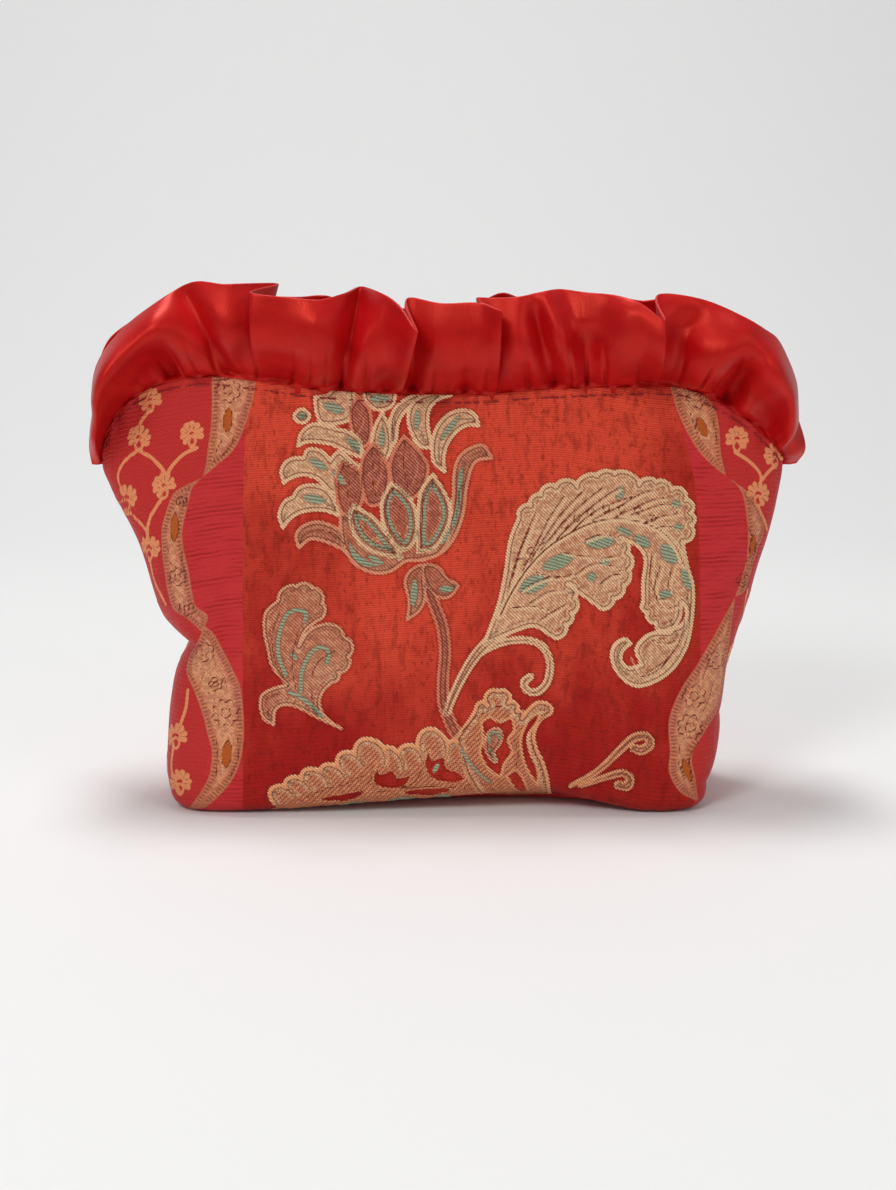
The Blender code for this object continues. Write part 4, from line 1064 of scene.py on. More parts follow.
warm = maths(tree, "MULTIPLY_ADD", patches, 0.9, maths(tree, "ADD", field_of(tree, "warmth"), -0.3))
middle = blend_colours(tree, over(tree, -0.1, 0.75, warm), FIELD_RED, FIELD_ORANGE)
middle = blend_colours(tree, share(tree, over(tree, 0.54, 0.68, flecks), 0.5), middle, FIELD_DARK)
middle = blend_colours(tree, share(tree, over(tree, 0.48, 0.66, bark), 0.42), middle, FIELD_DARK)
middle = blend_colours(tree, share(tree, picks, 0.34), middle, FIELD_DARK)
worn = use_group(tree, slubs, "Amount", Stretch=(0.3, 1, 1), Size=260.0, Detail=5.0)
stripe = maths(tree, "MULTIPLY", over(tree, 0.7, 0.2, ribs), over(tree, 0.38, 0.66, worn))
stripe = blend_colours(tree, stripe, STRIPE_LIGHT, STRIPE_DARK)
stripe = blend_colours(tree, share(tree, patches, 0.5), stripe, OUTER_RED)
outer = blend_colours(tree, share(tree, twill, 0.45), OUTER_RED, STRIPE_DARK)
ground = blend_colours(tree, over(tree, -0.3, 0.3, field_of(tree, "field")), stripe, middle)
ground = blend_colours(tree, over(tree, -0.3, 0.3, field_of(tree, "outer")), ground, outer)
figure, own, cord = (field_of(tree, name) for name in ("figure", "own", "cord"))
in_band = over(tree, -0.2, 0.2, field_of(tree, "band"))
band_edge = over(tree, 0.9, 0.2, field_of(tree, "band"))
on_vine = over(tree, -0.15, 0.15, field_of(tree, "vine"))
in_figure = over(tree, -0.12, 0.12, figure)
grain = use_group(tree, slubs, "Amount", Stretch=(1, 1, 1), Size=1500.0, Detail=2.0)
raised_thread = over(tree, 0.35, 0.75, maths(tree, "MULTIPLY_ADD", twill, 0.55, share(tree, grain, 0.6)))
# Painted glints: a fine random speckle that turns the gold darker, toward GOLD_SHADE, between its bright spots, as
# metallic thread that catches the light in some places and not in others; partly also the thread's own uneven grain
glints = use_group(tree, slubs, "Amount", Stretch=(1, 1, 1), Size=620.0, Detail=6.0)
glints = over(tree, 0.42, 0.6, glints)
gold = blend_colours(tree, over(tree, 0.4, 0.62, patches), ROSE_CORD, GOLD_THREAD)
gold = blend_colours(tree, over(tree, 1.6, 3.6, field_of(tree, "band")), gold, GOLD_BRIGHT)
gold = blend_colours(tree, maths(tree, "MULTIPLY_ADD", glints, -0.6, 0.5), gold, GOLD_SHADE)
gold = blend_colours(tree, maths(tree, "MULTIPLY_ADD", raised_thread, -0.8, 0.8), gold, MAUVE_SILK)
comb_rows = maths(tree, "SINE", maths(tree, "MULTIPLY", field_of(tree, "comb"), 2 * math.pi / 1.1))
comb = maths(tree, "MULTIPLY_ADD", comb_rows, 0.5, 0.5)
edge_ribs = maths(tree, "MULTIPLY", over(tree, 2.8, 1.2, field_of(tree, "band")), share(tree, comb, 0.75))
gold = blend_colours(tree, edge_ribs, gold, GOLD_SHADE)
gold = blend_colours(tree, share(tree, band_edge, 0.5), gold, ROSE_SILK)
gold = blend_colours(tree, over(tree, -0.2, 0.2, field_of(tree, "almond")), gold, ALMOND_ORANGE)
# Painted shadow: within about 1.4 mm outside each figure the ground darkens toward FIELD_DARK, as shade beside its
# raised threads
colour = blend_colours(tree, share(tree, over(tree, -1.4, -0.4, figure), 0.45), ground, FIELD_DARK)
colour = blend_colours(tree, in_band, colour, gold)
colour = blend_colours(tree, on_vine, colour, blend_colours(tree, share(tree, twill, 0.7), GOLD_THREAD, MAUVE_SILK))
tone = maths(tree, "ADD", field_of(tree, "tone"), maths(tree, "MULTIPLY_ADD", patches, 0.9, -0.4))
fill = blend_colours(tree, over(tree, 0, 0.35, tone), MAUVE_SILK, ROSE_SILK)
fill = blend_colours(tree, over(tree, 0.2, 0.9, tone), fill, CREAM_SILK)
net = maths(tree, "MULTIPLY", over(tree, 0.1, 0.6, twill), over(tree, 0.1, 0.6, cross_twill))
net = blend_colours(tree, net, GOLD_SHADE, BRONZE_SILK)
fill = blend_colours(tree, over(tree, 1.1, 1.4, tone), fill, net)
# Painted glints on the figures' fill as well, darker toward GOLD_SHADE between the bright spots
fill = blend_colours(tree, maths(tree, "MULTIPLY_ADD", glints, -0.6, 0.5), fill, GOLD_SHADE)
thread_gap = blend_colours(tree, tone, DRAWN_LINE, ROSE_SILK)
fill = blend_colours(tree, maths(tree, "MULTIPLY_ADD", raised_thread, 1.0, 0.1), thread_gap, fill)
near_edge = maths(tree, "MULTIPLY", over(tree, 0.4, 0.7, own), over(tree, 2.6, 1.4, own))
comb_share = maths(tree, "MULTIPLY", share(tree, comb, 0.45), over(tree, 0.1, 0.7, tone))
fill = blend_colours(tree, maths(tree, "MULTIPLY", near_edge, comb_share), fill, CREAM_SILK)
inner_line = maths(tree, "MULTIPLY", over(tree, 0.45, 0.6, own), over(tree, 1.05, 0.8, own))
fill = blend_colours(tree, share(tree, inner_line, 0.7), fill, DRAWN_LINE)
colour = blend_colours(tree, in_figure, colour, fill)
sage = blend_colours(tree, over(tree, 0.15, 0.55, sage_ribs), SAGE_DARK, SAGE_SILK)
round_sage = share(tree, over(tree, -0.6, -0.15, field_of(tree, "sage")), 0.4)
colour = blend_colours(tree, maths(tree, "MULTIPLY", round_sage, in_figure), colour, DRAWN_LINE)
colour = blend_colours(tree, over(tree, -0.15, 0.2, field_of(tree, "sage")), colour, sage)
cord_colour = blend_colours(tree, over(tree, 0.15, 0.6, field_of(tree, "tone")), ROSE_CORD, CREAM_SILK)
cord_colour = blend_colours(tree, over(tree, 1.1, 1.4, field_of(tree, "tone")), cord_colour, GOLD_BRIGHT)
cord_colour = blend_colours(tree, maths(tree, "MULTIPLY_ADD", raised_thread, -0.6, 0.6), cord_colour, ROSE_SILK)
on_cord = over(tree, -0.1, 0.2, maths(tree, "MULTIPLY_ADD", twill, 0.3, maths(tree, "ADD", cord, -0.15)))
colour = blend_colours(tree, on_cord, colour, cord_colour)
colour = blend_colours(tree, over(tree, -0.12, 0.15, field_of(tree, "dark")), colour, DRAWN_LINE)
tree.links.new(colour, shader.inputs["Base Color"])
height = maths(tree, "ADD", share(tree, picks, 0.5), share(tree, bark, 2.2))
height = maths(tree, "ADD", height, share(tree, ribs, 0.6))
height = maths(tree, "MULTIPLY_ADD", twill, maths(tree, "MAXIMUM", in_figure, in_band), height)
height = maths(tree, "MULTIPLY_ADD", maths(tree, "MULTIPLY", comb, near_edge), 0.8, height)
height = maths(tree, "MULTIPLY_ADD", over(tree, 0.25, -0.1, field_of(tree, "dark")), 1.6, height)
set_bump(tree, shader, height, WEAVE_BUMP, 0.9)
shader.inputs["Specular IOR Level"].default_value = 0.4
shader.inputs["Specular Tint"].default_value = (1, 0.35, 0.25, 1)


# ---- Brocade panels -----------------------------------------------------------------------
# Two panels of the brocade over a padded interlining, cut alike from different places of the
# cloth. Their edges turn in at the side seams, the base seam and the mouth.

FIGURE_RELIEF, CORD_RELIEF, BAND_RELIEF, CRINKLE = 0.25 * MM, 0.22 * MM, 0.18 * MM, 0.75 * MM
PUCKER_RELIEF, PUCKER_PITCH, PUCKER_REACH = 0.35 * MM, 8 * MM, 7 * MM
CRINKLE_REACH = 34 * MM
# Within this of a seam, the panels' edges draw together until they touch
SEAM_CLOSES = 2 * MM
# Crinkles: (share, wave across, wave along, seed) of the coarse and the fine ones, and the fine
# ones' slant, in millimetres
COARSE_CRINKLE, FINE_CRINKLE, CRINKLE_SLANT = (0.6, 1.6, 7, 3), (0.4, 0.9, 3.5, 5), 9
CRINKLE_LOW = 0.6
PUCKER_WANDER, PUCKER_DRIFT = 1.3, 9
# How far inside a shape, in millimetres, its thread starts and stops to rise
FIGURE_RISES, CORD_RISES, BAND_RISES, FIELD_RISES, SIDE_RISES = (-0.3, 0.5), (-0.3, 0.4), (-0.3, 0.4), (-1, 3), (0, 2)
PAST_RIBBON = 4
# The far edges of the gold ribbons, from which the vine's ground reaches to the side seams
RIBBON_LINES = (
    curve((240, 372), (226, 430), (203, 477), (172, 500), (165, 540), (170, 590), (196, 628), (192, 660),
          (204, 710), (208, 752), (200, 790), (190, 812)),
    curve((690, 372), (712, 430), (726, 476), (752, 500), (763, 531), (744, 590), (724, 650), (706, 714),
          (688, 755), (694, 800)),
)


def value_noise(x, y, seed):
    """Smooth noise from 0 to 1 that repeats nowhere near."""
    xi, yi = np.floor(x), np.floor(y)
    tx, ty = x - xi, y - yi
    tx, ty = tx * tx * (3 - 2 * tx), ty * ty * (3 - 2 * ty)

    def at(i, j):
        return np.modf(np.abs(np.sin((xi + i) * 127.1 + (yi + j) * 311.7 + seed * 74.7) * 43758.5453))[0]

    low = at(0, 0) * (1 - tx) + at(1, 0) * tx
    high = at(0, 1) * (1 - tx) + at(1, 1) * tx
    return low * (1 - ty) + high * ty


def past_ribbon(weaving, cloth):
    """How far each cloth point lies past the gold ribbons, towards the side seams."""
    flat = cloth.reshape(-1, 2)
    past = np.full(len(flat), weaving.FAR)
    for line in RIBBON_LINES:
        path = weaving.place(on_cloth(line))
        path = path[np.argsort(path[:, 1])]
        edge = np.interp(flat[:, 1], path[:, 1], path[:, 0])
        side = np.sign(path[:, 0].mean())
        past = np.maximum(past, np.clip((flat[:, 0] - edge) * side, -PAST_RIBBON, PAST_RIBBON))
    return past


def turn_edges(points, facing):
    """Points, faces and their places in the grid of a panel whose edges turn in by its thickness."""
    rows, columns = points.shape[:2]
    inner = wall_grid(spread, BROCADE, facing, mouth_height(spread), PANEL_STEPS)
    border = [(0, j) for j in range(columns)] + [(i, columns - 1) for i in range(1, rows)]
    border += [(rows - 1, j) for j in range(columns - 2, -1, -1)] + [(i, 0) for i in range(rows - 2, 0, -1)]
    i, j = np.array(border).T
    edge, turned = i * columns + j, rows * columns + np.arange(len(border))
    strip = np.stack([edge, np.roll(edge, -1), np.roll(turned, -1), turned], axis=1)
    faces = np.concatenate([quads(rows, columns), strip[:, ::-1]])
    return np.concatenate([points.reshape(-1, 3), inner[i, j]]), faces, edge


def brocade_panel(name, facing, place):
    grid = wall_grid(spread, 0, facing, mouth_height(spread), PANEL_STEPS)
    cloth = cloth_lengths(grid, PANEL_STEPS[0] + PANEL_STEPS[1]) / MM
    weaving = Weaving(cloth, place)
    draw_stripes(weaving)
    draw_flowers(weaving)
    fields = weaving.fields
    fields["outer"] = past_ribbon(weaving, cloth)
    a, h = cloth[..., 0], cloth[..., 1]
    f = {key: value.reshape(a.shape) for key, value in fields.items()}
    raised = FIGURE_RELIEF * ease(*FIGURE_RISES, f["figure"]) + CORD_RELIEF * ease(*CORD_RISES, f["cord"])
    raised += BAND_RELIEF * ease(*BAND_RISES, np.maximum(f["band"], f["vine"]))
    share, across, along, seed = COARSE_CRINKLE
    crinkle = share * value_noise(a / across, h / along, seed) - 0.5
    share, across, along, seed = FINE_CRINKLE
    crinkle += share * value_noise(a / across + h / CRINKLE_SLANT, h / along, seed)
    below = grid[-1:, :, 2] - grid[..., 2]
    upper = CRINKLE_LOW + np.exp(-((below / CRINKLE_REACH) ** 2))
    raised += CRINKLE * crinkle * upper * ease(*FIELD_RISES, f["field"])
    gathers = np.sin(2 * math.pi * a * MM / PUCKER_PITCH + PUCKER_WANDER * np.sin(a / PUCKER_DRIFT))
    raised += PUCKER_RELIEF * gathers * np.exp(-((below / PUCKER_REACH) ** 2))
    raised *= ease(*SIDE_RISES, np.minimum(a - a[:, :1], a[:, -1:] - a))
    points = grid - facing * grid_normals(grid) * raised[..., None]
    from_seam = np.abs(grid[..., 1]) - SEAM_GAP / 2
    points[..., 1] -= facing * SEAM_GAP / 2 * (1 - ease(0, SEAM_CLOSES, from_seam))
    points, faces, edge = turn_edges(points, facing)
    kept = {key: np.concatenate([value, value[edge]]) for key, value in fields.items()}
    flat = cloth.reshape(-1, 2) * MM
    if facing > 0:
        faces = faces[:, ::-1]
    places = np.concatenate([flat, flat[edge]])
    made = build(name, points, faces.tolist(), brocade, "pouch", kept, places)
    return made


front_brocade = brocade_panel("front_brocade", -1, lambda cloth: cloth)
back_brocade = brocade_panel("back_brocade", 1, lambda cloth: cloth * (-1, 1))
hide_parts("front_panel")
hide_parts("back_panel")


# ---- Linings ------------------------------------------------------------------------------
# Two panels of plain red lining cloth, sewn like the outer ones and a little smaller, whose top
# edges end just below the zip tape.

LINING_GAP, LINING_CLOTH, LINING_DROP, LINING_SLACK = 1.2 * MM, 0.5 * MM, 2 * MM, 6 * MM
LINING_STEPS = (10, 3, 60)
LINING_RED, LINING_DARK = (0.36, 0.015, 0.020, 1), (0.22, 0.008, 0.012, 1)
LINING_COLUMNS, LINING_CREASES, LINING_SEED = 120, (21 * MM, 34 * MM), 11

lining_cloth, tree, shader = new_material("lining_cloth", LINING_RED[:3], 0.6)
weft = use_group(tree, threads, "Height", Rows=(0, 2200, 0), Waver=0.3)
warp = use_group(tree, threads, "Height", Rows=(2200, 0, 0), Waver=0.3)
weave = maths(tree, "MULTIPLY", weft, warp)
tree.links.new(blend_colours(tree, weave, LINING_DARK, LINING_RED), shader.inputs["Base Color"])
set_bump(tree, shader, weave, WEAVE_BUMP, 0.5)

MOUTH_CORNER, TAPE_SET, TAPE_RISE, TAPE_DROP = 0.6, 2.4 * MM, 2.4 * MM, 2 * MM
TAPE_TOP = min(height for across, height in MOUTH_LINE if abs(across) < MOUTH_CORNER) * MM - TAPE_SET


def sewn_height(across):
    return np.minimum(mouth_height(across) - TAPE_DROP, TAPE_TOP + TAPE_RISE)


for name, facing, node in (("front_lining_cloth", -1, "front_lining"), ("back_lining_cloth", 1, "back_lining")):
    across = np.linspace(-1, 1, LINING_COLUMNS + 1)
    inset = BROCADE + LINING_GAP + LINING_CLOTH / 2
    grid = wall_grid(across, inset, facing, sewn_height(across) - LINING_DROP, LINING_STEPS, LINING_SLACK)
    cloth = cloth_lengths(grid, 0)
    creases = value_noise(*np.moveaxis(cloth / LINING_CREASES, 2, 0), LINING_SEED) - 0.5
    points = grid - facing * grid_normals(grid) * (LINING_CLOTH / 2 * creases)[..., None]
    made = build(name, points, quads(*grid.shape[:2], flip=facing < 0).tolist(), lining_cloth, "pouch", uv=cloth)
    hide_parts(node)


# ---- Satin frills -------------------------------------------------------------------------
# Two strips of red satin, folded double along their rim, gathered and sewn into the mouth seam,
# one on each side of the zip. The satin stands up, leans out and folds over itself in places.

# Each row is (root along the seam, rim's shift along it, lean to the front, height):
# millimetres from the middle of the seam, millimetres, degrees, millimetres. Where the shift
# turns back, the satin folds over itself.
FRILL_FOLDS = (
    (-115, 0, 20, 3), (-111, 1, 32, 4), (-106, 1, 44, 5.5), (-100, 1, 46, 8.5), (-95, -1, 40, 11.5),
    (-90, -2, 28, 15), (-84, -2, 20, 18.5), (-76, -3, 12, 22), (-66, -6, 6, 26.5), (-61, -4, 12, 27),
    (-57, -2, 8, 27.5), (-54.5, 4, 0, 28), (-53, -4, 28, 29), (-48, 1, 28, 29), (-40, 2, 26, 29),
    (-32, 2, 15, 29), (-25, 0, -2, 29.5), (-20, 2, 16, 29.5), (-16, 3, 32, 30), (-13, 5, 52, 31.5),
    (-11, 0, 12, 28), (-4, 2.5, 20, 28), (8, 2.5, 22, 28.5), (14, 3.5, 34, 29), (16, -5, 10, 28),
    (19, -2.5, 14, 28), (24, -1.5, 18, 28.5), (34, -2.5, 6, 28.5), (42, -1.5, 14, 28), (49, -0.5, 20, 28),
    (55, -1, 30, 28), (60, -0.5, 44, 28), (61.5, -3, 14, 27), (67, 0, 14, 26.5), (74, 1, 16, 25.5),
    (81, -3, 16, 25), (86, -5, 12, 24), (90, -5, 12, 21), (95, -4.5, 14, 17), (99, -4, 18, 13),
    (102, -4, 26, 10), (103.5, -6, 4, 9), (106, -1, 18, 7), (109, 0, 12, 4),
)
FRILL_BACK_SLIDE, FRILL_BACK_LEAN, FRILL_BACK_DROP, FRILL_BEND = 0.7, 13, 3, (74, 94)
FRILL_SEAM, FRILL_RIM, FRILL_BULGE, FRILL_LEAN_START = 0.9 * MM, 0.9 * MM, 7.5 * MM, 0.8
BELLY_LENGTH, BELLY_LOW, SEAM_FLAT = 15 * MM, 0.85, 0.06
GATHER_PITCH, GATHER_WANDER, GATHER_DRIFT, GATHER_DEPTH, GATHER_FADE = 9.5 * MM, 2.2, 13 * MM, 0.8 * MM, 0.4
TUCK_PITCH, TUCK_DEPTH, TUCK_FADE, TUCK_WIDTH = 7 * MM, 2.4 * MM, 0.3, 0.06
TUCK_WANDER, TUCK_DRIFT, TUCK_LEAST, TUCK_CHANGE = 1.6, 6 * MM, 0.3, 4 * MM
BELLY_LEAST, BELLY_CHANGE = 0.65, 0.7
RIPPLE_DEPTH, RIPPLE_LENGTH, RIPPLE_RISE = 1.0 * MM, 6 * MM, 1.2
TUCK_SEED, BELLY_SEED, RIPPLE_SEED = 9, 2, 7
# Creases: along the seam at the root and at the rim, depth, width, and the shares of the
# frill's height where it starts and ends; a ridge has a negative depth. All in millimetres.
FRILL_CREASES = (
    (-63, -71, 2.6, 2.6, 0, 1.2), (-71, -78, -2.2, 5, 0, 1.2), (-59, -58, 2, 2.4, 0, 0.6),
    (-48, -47, 3, 5, 0, 0.5), (-40, -41, -1.6, 5, 0.1, 1.1), (-32, -28, 3.2, 3.4, 0, 1.2),
    (-27, -23, -1.8, 2.8, 0, 1.2), (-18, -17, 2.4, 2.6, 0, 0.4), (-10.5, -10, 2.4, 2.2, 0, 0.5),
    (4, 5, 2, 3, 0, 0.35), (31, 27, 3.2, 3.4, 0, 1), (37, 31.5, -2.6, 3.6, 0, 1.3), (40, 43, 3.2, 3.8, 0, 0.75),
    (47, 52, -2.2, 5, 0, 1.2), (58, 58, 2.2, 2.6, 0, 0.45), (63, 67, 3.2, 3, 0, 1), (71, 76, -2.4, 5, 0, 1.2),
    (80, 83, 3.4, 4, 0, 0.8), (88, 91, -3, 5, 0.1, 1.1), (95, 97, 2.4, 3.4, 0, 0.8),
    (-80, -84, 2.4, 4, 0, 0.7), (-92, -92, -2, 5, 0.2, 1.1),
)
# Rolls, where the rim curls over to the front and hollows under it: from, to, depth
FRILL_ROLLS = ((-108, -70, 4.0), (74, 106, 3.6))
CREASE_STRENGTH = 1.45
# Shares of the frill's height over which a crease comes in and goes out, and millimetres of a roll
CREASE_IN, CREASE_OUT, ROLL_FADE = (0.25, 0.02), 0.35, 10
SEAM_TUCK = 0.08
FRILL_FREE, FRILL_END_GAP, FRILL_END_FADE, SEAM_REACH = 0.7, 1 * MM, 12 * MM, 4 * MM
FRILL_CLEARANCE = 0.5 * MM
FRILL_COLUMNS, FRILL_ROWS, FOLD_STEPS, SMOOTHING = 760, 40, 6, 24
# Each strip is cut double its height, and tapers towards its ends
SATIN_RED, SATIN_DEEP = (0.52, 0.004, 0.007, 1), (0.36, 0.002, 0.004, 1)
SATIN_TINT, SATIN_SHINE, SATIN_IOR = (1, 0.13, 0.08, 1), 0.9, 1.75
SATIN_ROUGH, SATIN_BUMP = (0.32, 0.42), 0.04 * MM

satin, tree, shader = new_material("satin", SATIN_RED[:3], 0.36)
shader.inputs["Specular IOR Level"].default_value = SATIN_SHINE
shader.inputs["IOR"].default_value = SATIN_IOR
shader.inputs["Specular Tint"].default_value = SATIN_TINT
blotch = use_group(tree, slubs, "Amount", Stretch=(0.25, 1, 1), Size=120.0, Detail=3.0)
floats = use_group(tree, threads, "Height", Rows=(2600, 260, 0), Waver=0.6)
tone = maths(tree, "MULTIPLY_ADD", floats, 0.25, blotch)
tree.links.new(blend_colours(tree, over(tree, 0.3, 0.8, tone), SATIN_DEEP, SATIN_RED), shader.inputs["Base Color"])
rough = wire(tree, "MapRange", {0: blotch, 1: 0.3, 2: 0.7, 3: SATIN_ROUGH[0], 4: SATIN_ROUGH[1]})
tree.links.new(rough, shader.inputs["Roughness"])
set_bump(tree, shader, floats, SATIN_BUMP, 0.5)


def mouth_path(facing):
    """The panel's top edge as points, with each one's distance along it from the middle."""
    across = np.sin(np.linspace(-1, 1, 201) * math.pi / 2)
    height = mouth_height(across)
    x, y = shell_point(across, height, 0, facing)
    points = np.stack([x, y, height], axis=1)
    along = walked(points)
    return points, along - np.interp(0, x, along)


def on_path(path, along):
    points, lengths = path
    return np.stack([np.interp(along, lengths, points[:, i]) for i in range(3)], axis=1)


def seam_frame(path, along):
    """Unit vectors along the seam, and outwards from it in the plane of the pouch."""
    lengths = path[1]
    before = on_path(path, np.clip(along - SEAM_REACH, lengths[0], lengths[-1]))
    after = on_path(path, np.clip(along + SEAM_REACH, lengths[0], lengths[-1]))
    tangent = (after - before) * (1, 0, 1)
    tangent /= np.linalg.norm(tangent, axis=1, keepdims=True)
    return tangent, np.stack([-tangent[:, 2], np.zeros(len(along)), tangent[:, 0]], axis=1)


def smooth_path(points, samples):
    """A curve through points, sampled evenly by length, with the place in the list of each sample."""
    knots = np.concatenate([[0], np.cumsum(np.linalg.norm(np.diff(points, axis=0), axis=1) ** 0.5)])
    gaps = np.diff(knots)[:, None]
    rises = np.diff(points, axis=0) / gaps
    inner = (rises[:-1] * gaps[1:] + rises[1:] * gaps[:-1]) / (gaps[1:] + gaps[:-1])
    slopes = np.concatenate([rises[:1], inner, rises[-1:]])
    at = np.linspace(0, knots[-1], samples * 12)
    i = np.clip(np.searchsorted(knots, at) - 1, 0, len(gaps) - 1)
    t = ((at - knots[i]) / gaps[i, 0])[:, None]
    line = points[i] * (1 + 2 * t) * (1 - t) ** 2 + points[i + 1] * (3 - 2 * t) * t**2
    line += gaps[i] * (slopes[i] * t * (1 - t) ** 2 - slopes[i + 1] * (1 - t) * t**2)
    length = walked(line)
    even = np.linspace(0, length[-1], samples)
    place = np.interp(even, length, i + t[:, 0])
    return np.stack([np.interp(even, length, line[:, k]) for k in range(3)], axis=1), place


def frill_middle(facing, columns, heights):
    """The middle surface of a gathered frill, from its seam to its rim."""
    path = mouth_path(facing)
    folds = np.array(FRILL_FOLDS, float)
    if facing > 0:
        folds = folds[::-1] * (-1, -FRILL_BACK_SLIDE, 1, 1) + (0, 0, FRILL_BACK_LEAN, 0)
        shorter = FRILL_BACK_DROP * (1 + ease(*FRILL_BEND, np.abs(folds[:, 0])))
        folds[:, 3] = np.maximum(folds[:, 3] - shorter, folds[:, 3].min())
    lengths = path[1]
    ends = [lengths[0] + FRILL_END_GAP, lengths[-1] - FRILL_END_GAP]
    root = np.interp(folds[:, 0], folds[[0, -1], 0], ends)
    tangent, outward = seam_frame(path, root)
    forward = np.array([0, facing, 0])
    lean = np.radians(folds[:, 2])[:, None]
    seated = np.array([0, -facing * BROCADE / 2, 0])
    standing = np.cos(lean) * outward + np.sin(lean) * forward
    rim = on_path(path, root) + seated + folds[:, 3:4] * MM * standing + folds[:, 1:2] * MM * tangent
    rim, place = smooth_path(rim, columns + 1)
    at = through(np.stack([np.arange(len(root)), root / MM], axis=1), place) * MM
    start = on_path(path, at) + seated
    tangent, outward = seam_frame(path, at)
    reach = rim - start
    up = (reach * outward).sum(axis=1, keepdims=True)
    ahead = reach @ forward
    slide = (reach * tangent).sum(axis=1, keepdims=True)
    inside = ease(0, FRILL_END_FADE, np.minimum(at - lengths[0], lengths[-1] - at))
    drift = GATHER_WANDER * np.sin(at / GATHER_DRIFT)
    gathers = np.sin(2 * math.pi * at / GATHER_PITCH + drift) * inside
    tucks = np.sin(math.pi * at / TUCK_PITCH + TUCK_WANDER * np.sin(at / TUCK_DRIFT))
    strength = TUCK_LEAST + value_noise(at / TUCK_CHANGE, np.ones_like(at), TUCK_SEED)
    tucks = -np.exp(-(tucks**2) / TUCK_WIDTH) * inside * strength
    fullness = value_noise(at / BELLY_LENGTH, np.zeros_like(at), BELLY_SEED)
    belly = FRILL_BULGE * (BELLY_LEAST + BELLY_CHANGE * fullness) * inside
    rows = []
    for share in heights:
        sewn = min(share, 0)
        share = max(share, 0)
        lag = share**FRILL_LEAN_START
        out = ahead * lag + belly * math.sin(math.pi * share**BELLY_LOW)
        out = out + GATHER_DEPTH * gathers * math.exp(-((share / GATHER_FADE) ** 2))
        out = out + TUCK_DEPTH * tucks * math.exp(-((share / TUCK_FADE) ** 2))
        ripple = value_noise(at / RIPPLE_LENGTH + share, np.full_like(at, share * RIPPLE_RISE), RIPPLE_SEED) - 0.5
        out = out + RIPPLE_DEPTH * ripple * inside * 4 * share * (1 - share)
        for root_at, rim_at, depth, width, low, high in FRILL_CREASES:
            middle_at = facing * -(root_at + (rim_at - root_at) * share) * MM
            window = ease(low - CREASE_IN[0], low + CREASE_IN[1], share)
            window *= 1 - ease(high - CREASE_OUT, high, share)
            across = np.exp(-(((at - middle_at) / (width * MM)) ** 2))
            out = out - CREASE_STRENGTH * depth * MM * across * window
        for low, high, depth in FRILL_ROLLS:
            along = facing * -at / MM
            window = ease(low, low + ROLL_FADE, along) * (1 - ease(high - ROLL_FADE, high, along))
            out = out - depth * MM * math.sin(2 * math.pi * share) * window * inside
        out = out * ease(0, SEAM_FLAT, share)
        point = start + outward * (SEAM_GAP + up * (share + sewn)) + tangent * slide * lag
        rows.append(point + out[:, None] * forward)
    return np.array(rows)


def satin_frill(name, facing, node):
    heights = np.linspace(-SEAM_TUCK, 1, FRILL_ROWS + 1)
    middle = frill_middle(facing, FRILL_COLUMNS, heights)
    normal = grid_normals(middle)
    free = ease(0, FRILL_FREE, heights)[:, None, None]
    normal = normal * free + np.array([0, -1, 0]) * (1 - free)
    normal /= np.linalg.norm(normal, axis=2, keepdims=True)
    for _ in range(SMOOTHING):
        normal[:, 1:-1] = (normal[:, :-2] + 2 * normal[:, 1:-1] + normal[:, 2:]) / 4
    half = (FRILL_SEAM + (FRILL_RIM - FRILL_SEAM) * heights)[:, None, None] / 2
    middle[..., 1] = facing * np.maximum(middle[..., 1] * facing, FRILL_CLEARANCE + half[..., 0])
    upward = middle[-1] - middle[-2]
    upward /= np.linalg.norm(upward, axis=1, keepdims=True)
    fold = []
    for turn in np.linspace(0, math.pi, FOLD_STEPS + 2)[1:-1]:
        fold.append(middle[-1] + half[-1] * (math.cos(turn) * normal[-1] + math.sin(turn) * upward))
    grid = np.concatenate([middle + half * normal, np.array(fold), (middle - half * normal)[::-1]])
    cloth = cloth_lengths(grid, 0)
    cloth[..., 0] = cloth[FRILL_ROWS, :, 0]
    made = build(name, grid, quads(*grid.shape[:2], flip=False).tolist(), satin, "pouch", uv=cloth)
    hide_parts(node)


satin_frill("front_satin_frill", -1, "front_frill")
satin_frill("back_satin_frill", 1, "back_frill")


# ---- Topstitching -------------------------------------------------------------------------
# One line of dark red thread holds the seam allowance down, just under each frill.

STITCH, STITCH_GAP, STITCH_DROP, THREAD_RADIUS = 2.3 * MM, 0.5 * MM, 2.2 * MM, 0.22 * MM
STITCH_ENDS, STITCH_SAMPLES, STITCH_STEPS, STITCH_ARCH, STITCH_SINK = 0.97, 900, 7, 2.2, 0.9
THREAD_BUMP = 0.06 * MM
THREAD_RED, THREAD_DARK = (0.34, 0.010, 0.014, 1), (0.22, 0.005, 0.008, 1)

thread, tree, shader = new_material("sewing_thread", THREAD_RED[:3], 0.5)
twist = use_group(tree, threads, "Height", Rows=(1800, 900, 0), Waver=0.1)
tree.links.new(blend_colours(tree, twist, THREAD_DARK, THREAD_RED), shader.inputs["Base Color"])
set_bump(tree, shader, twist, THREAD_BUMP, 0.6)


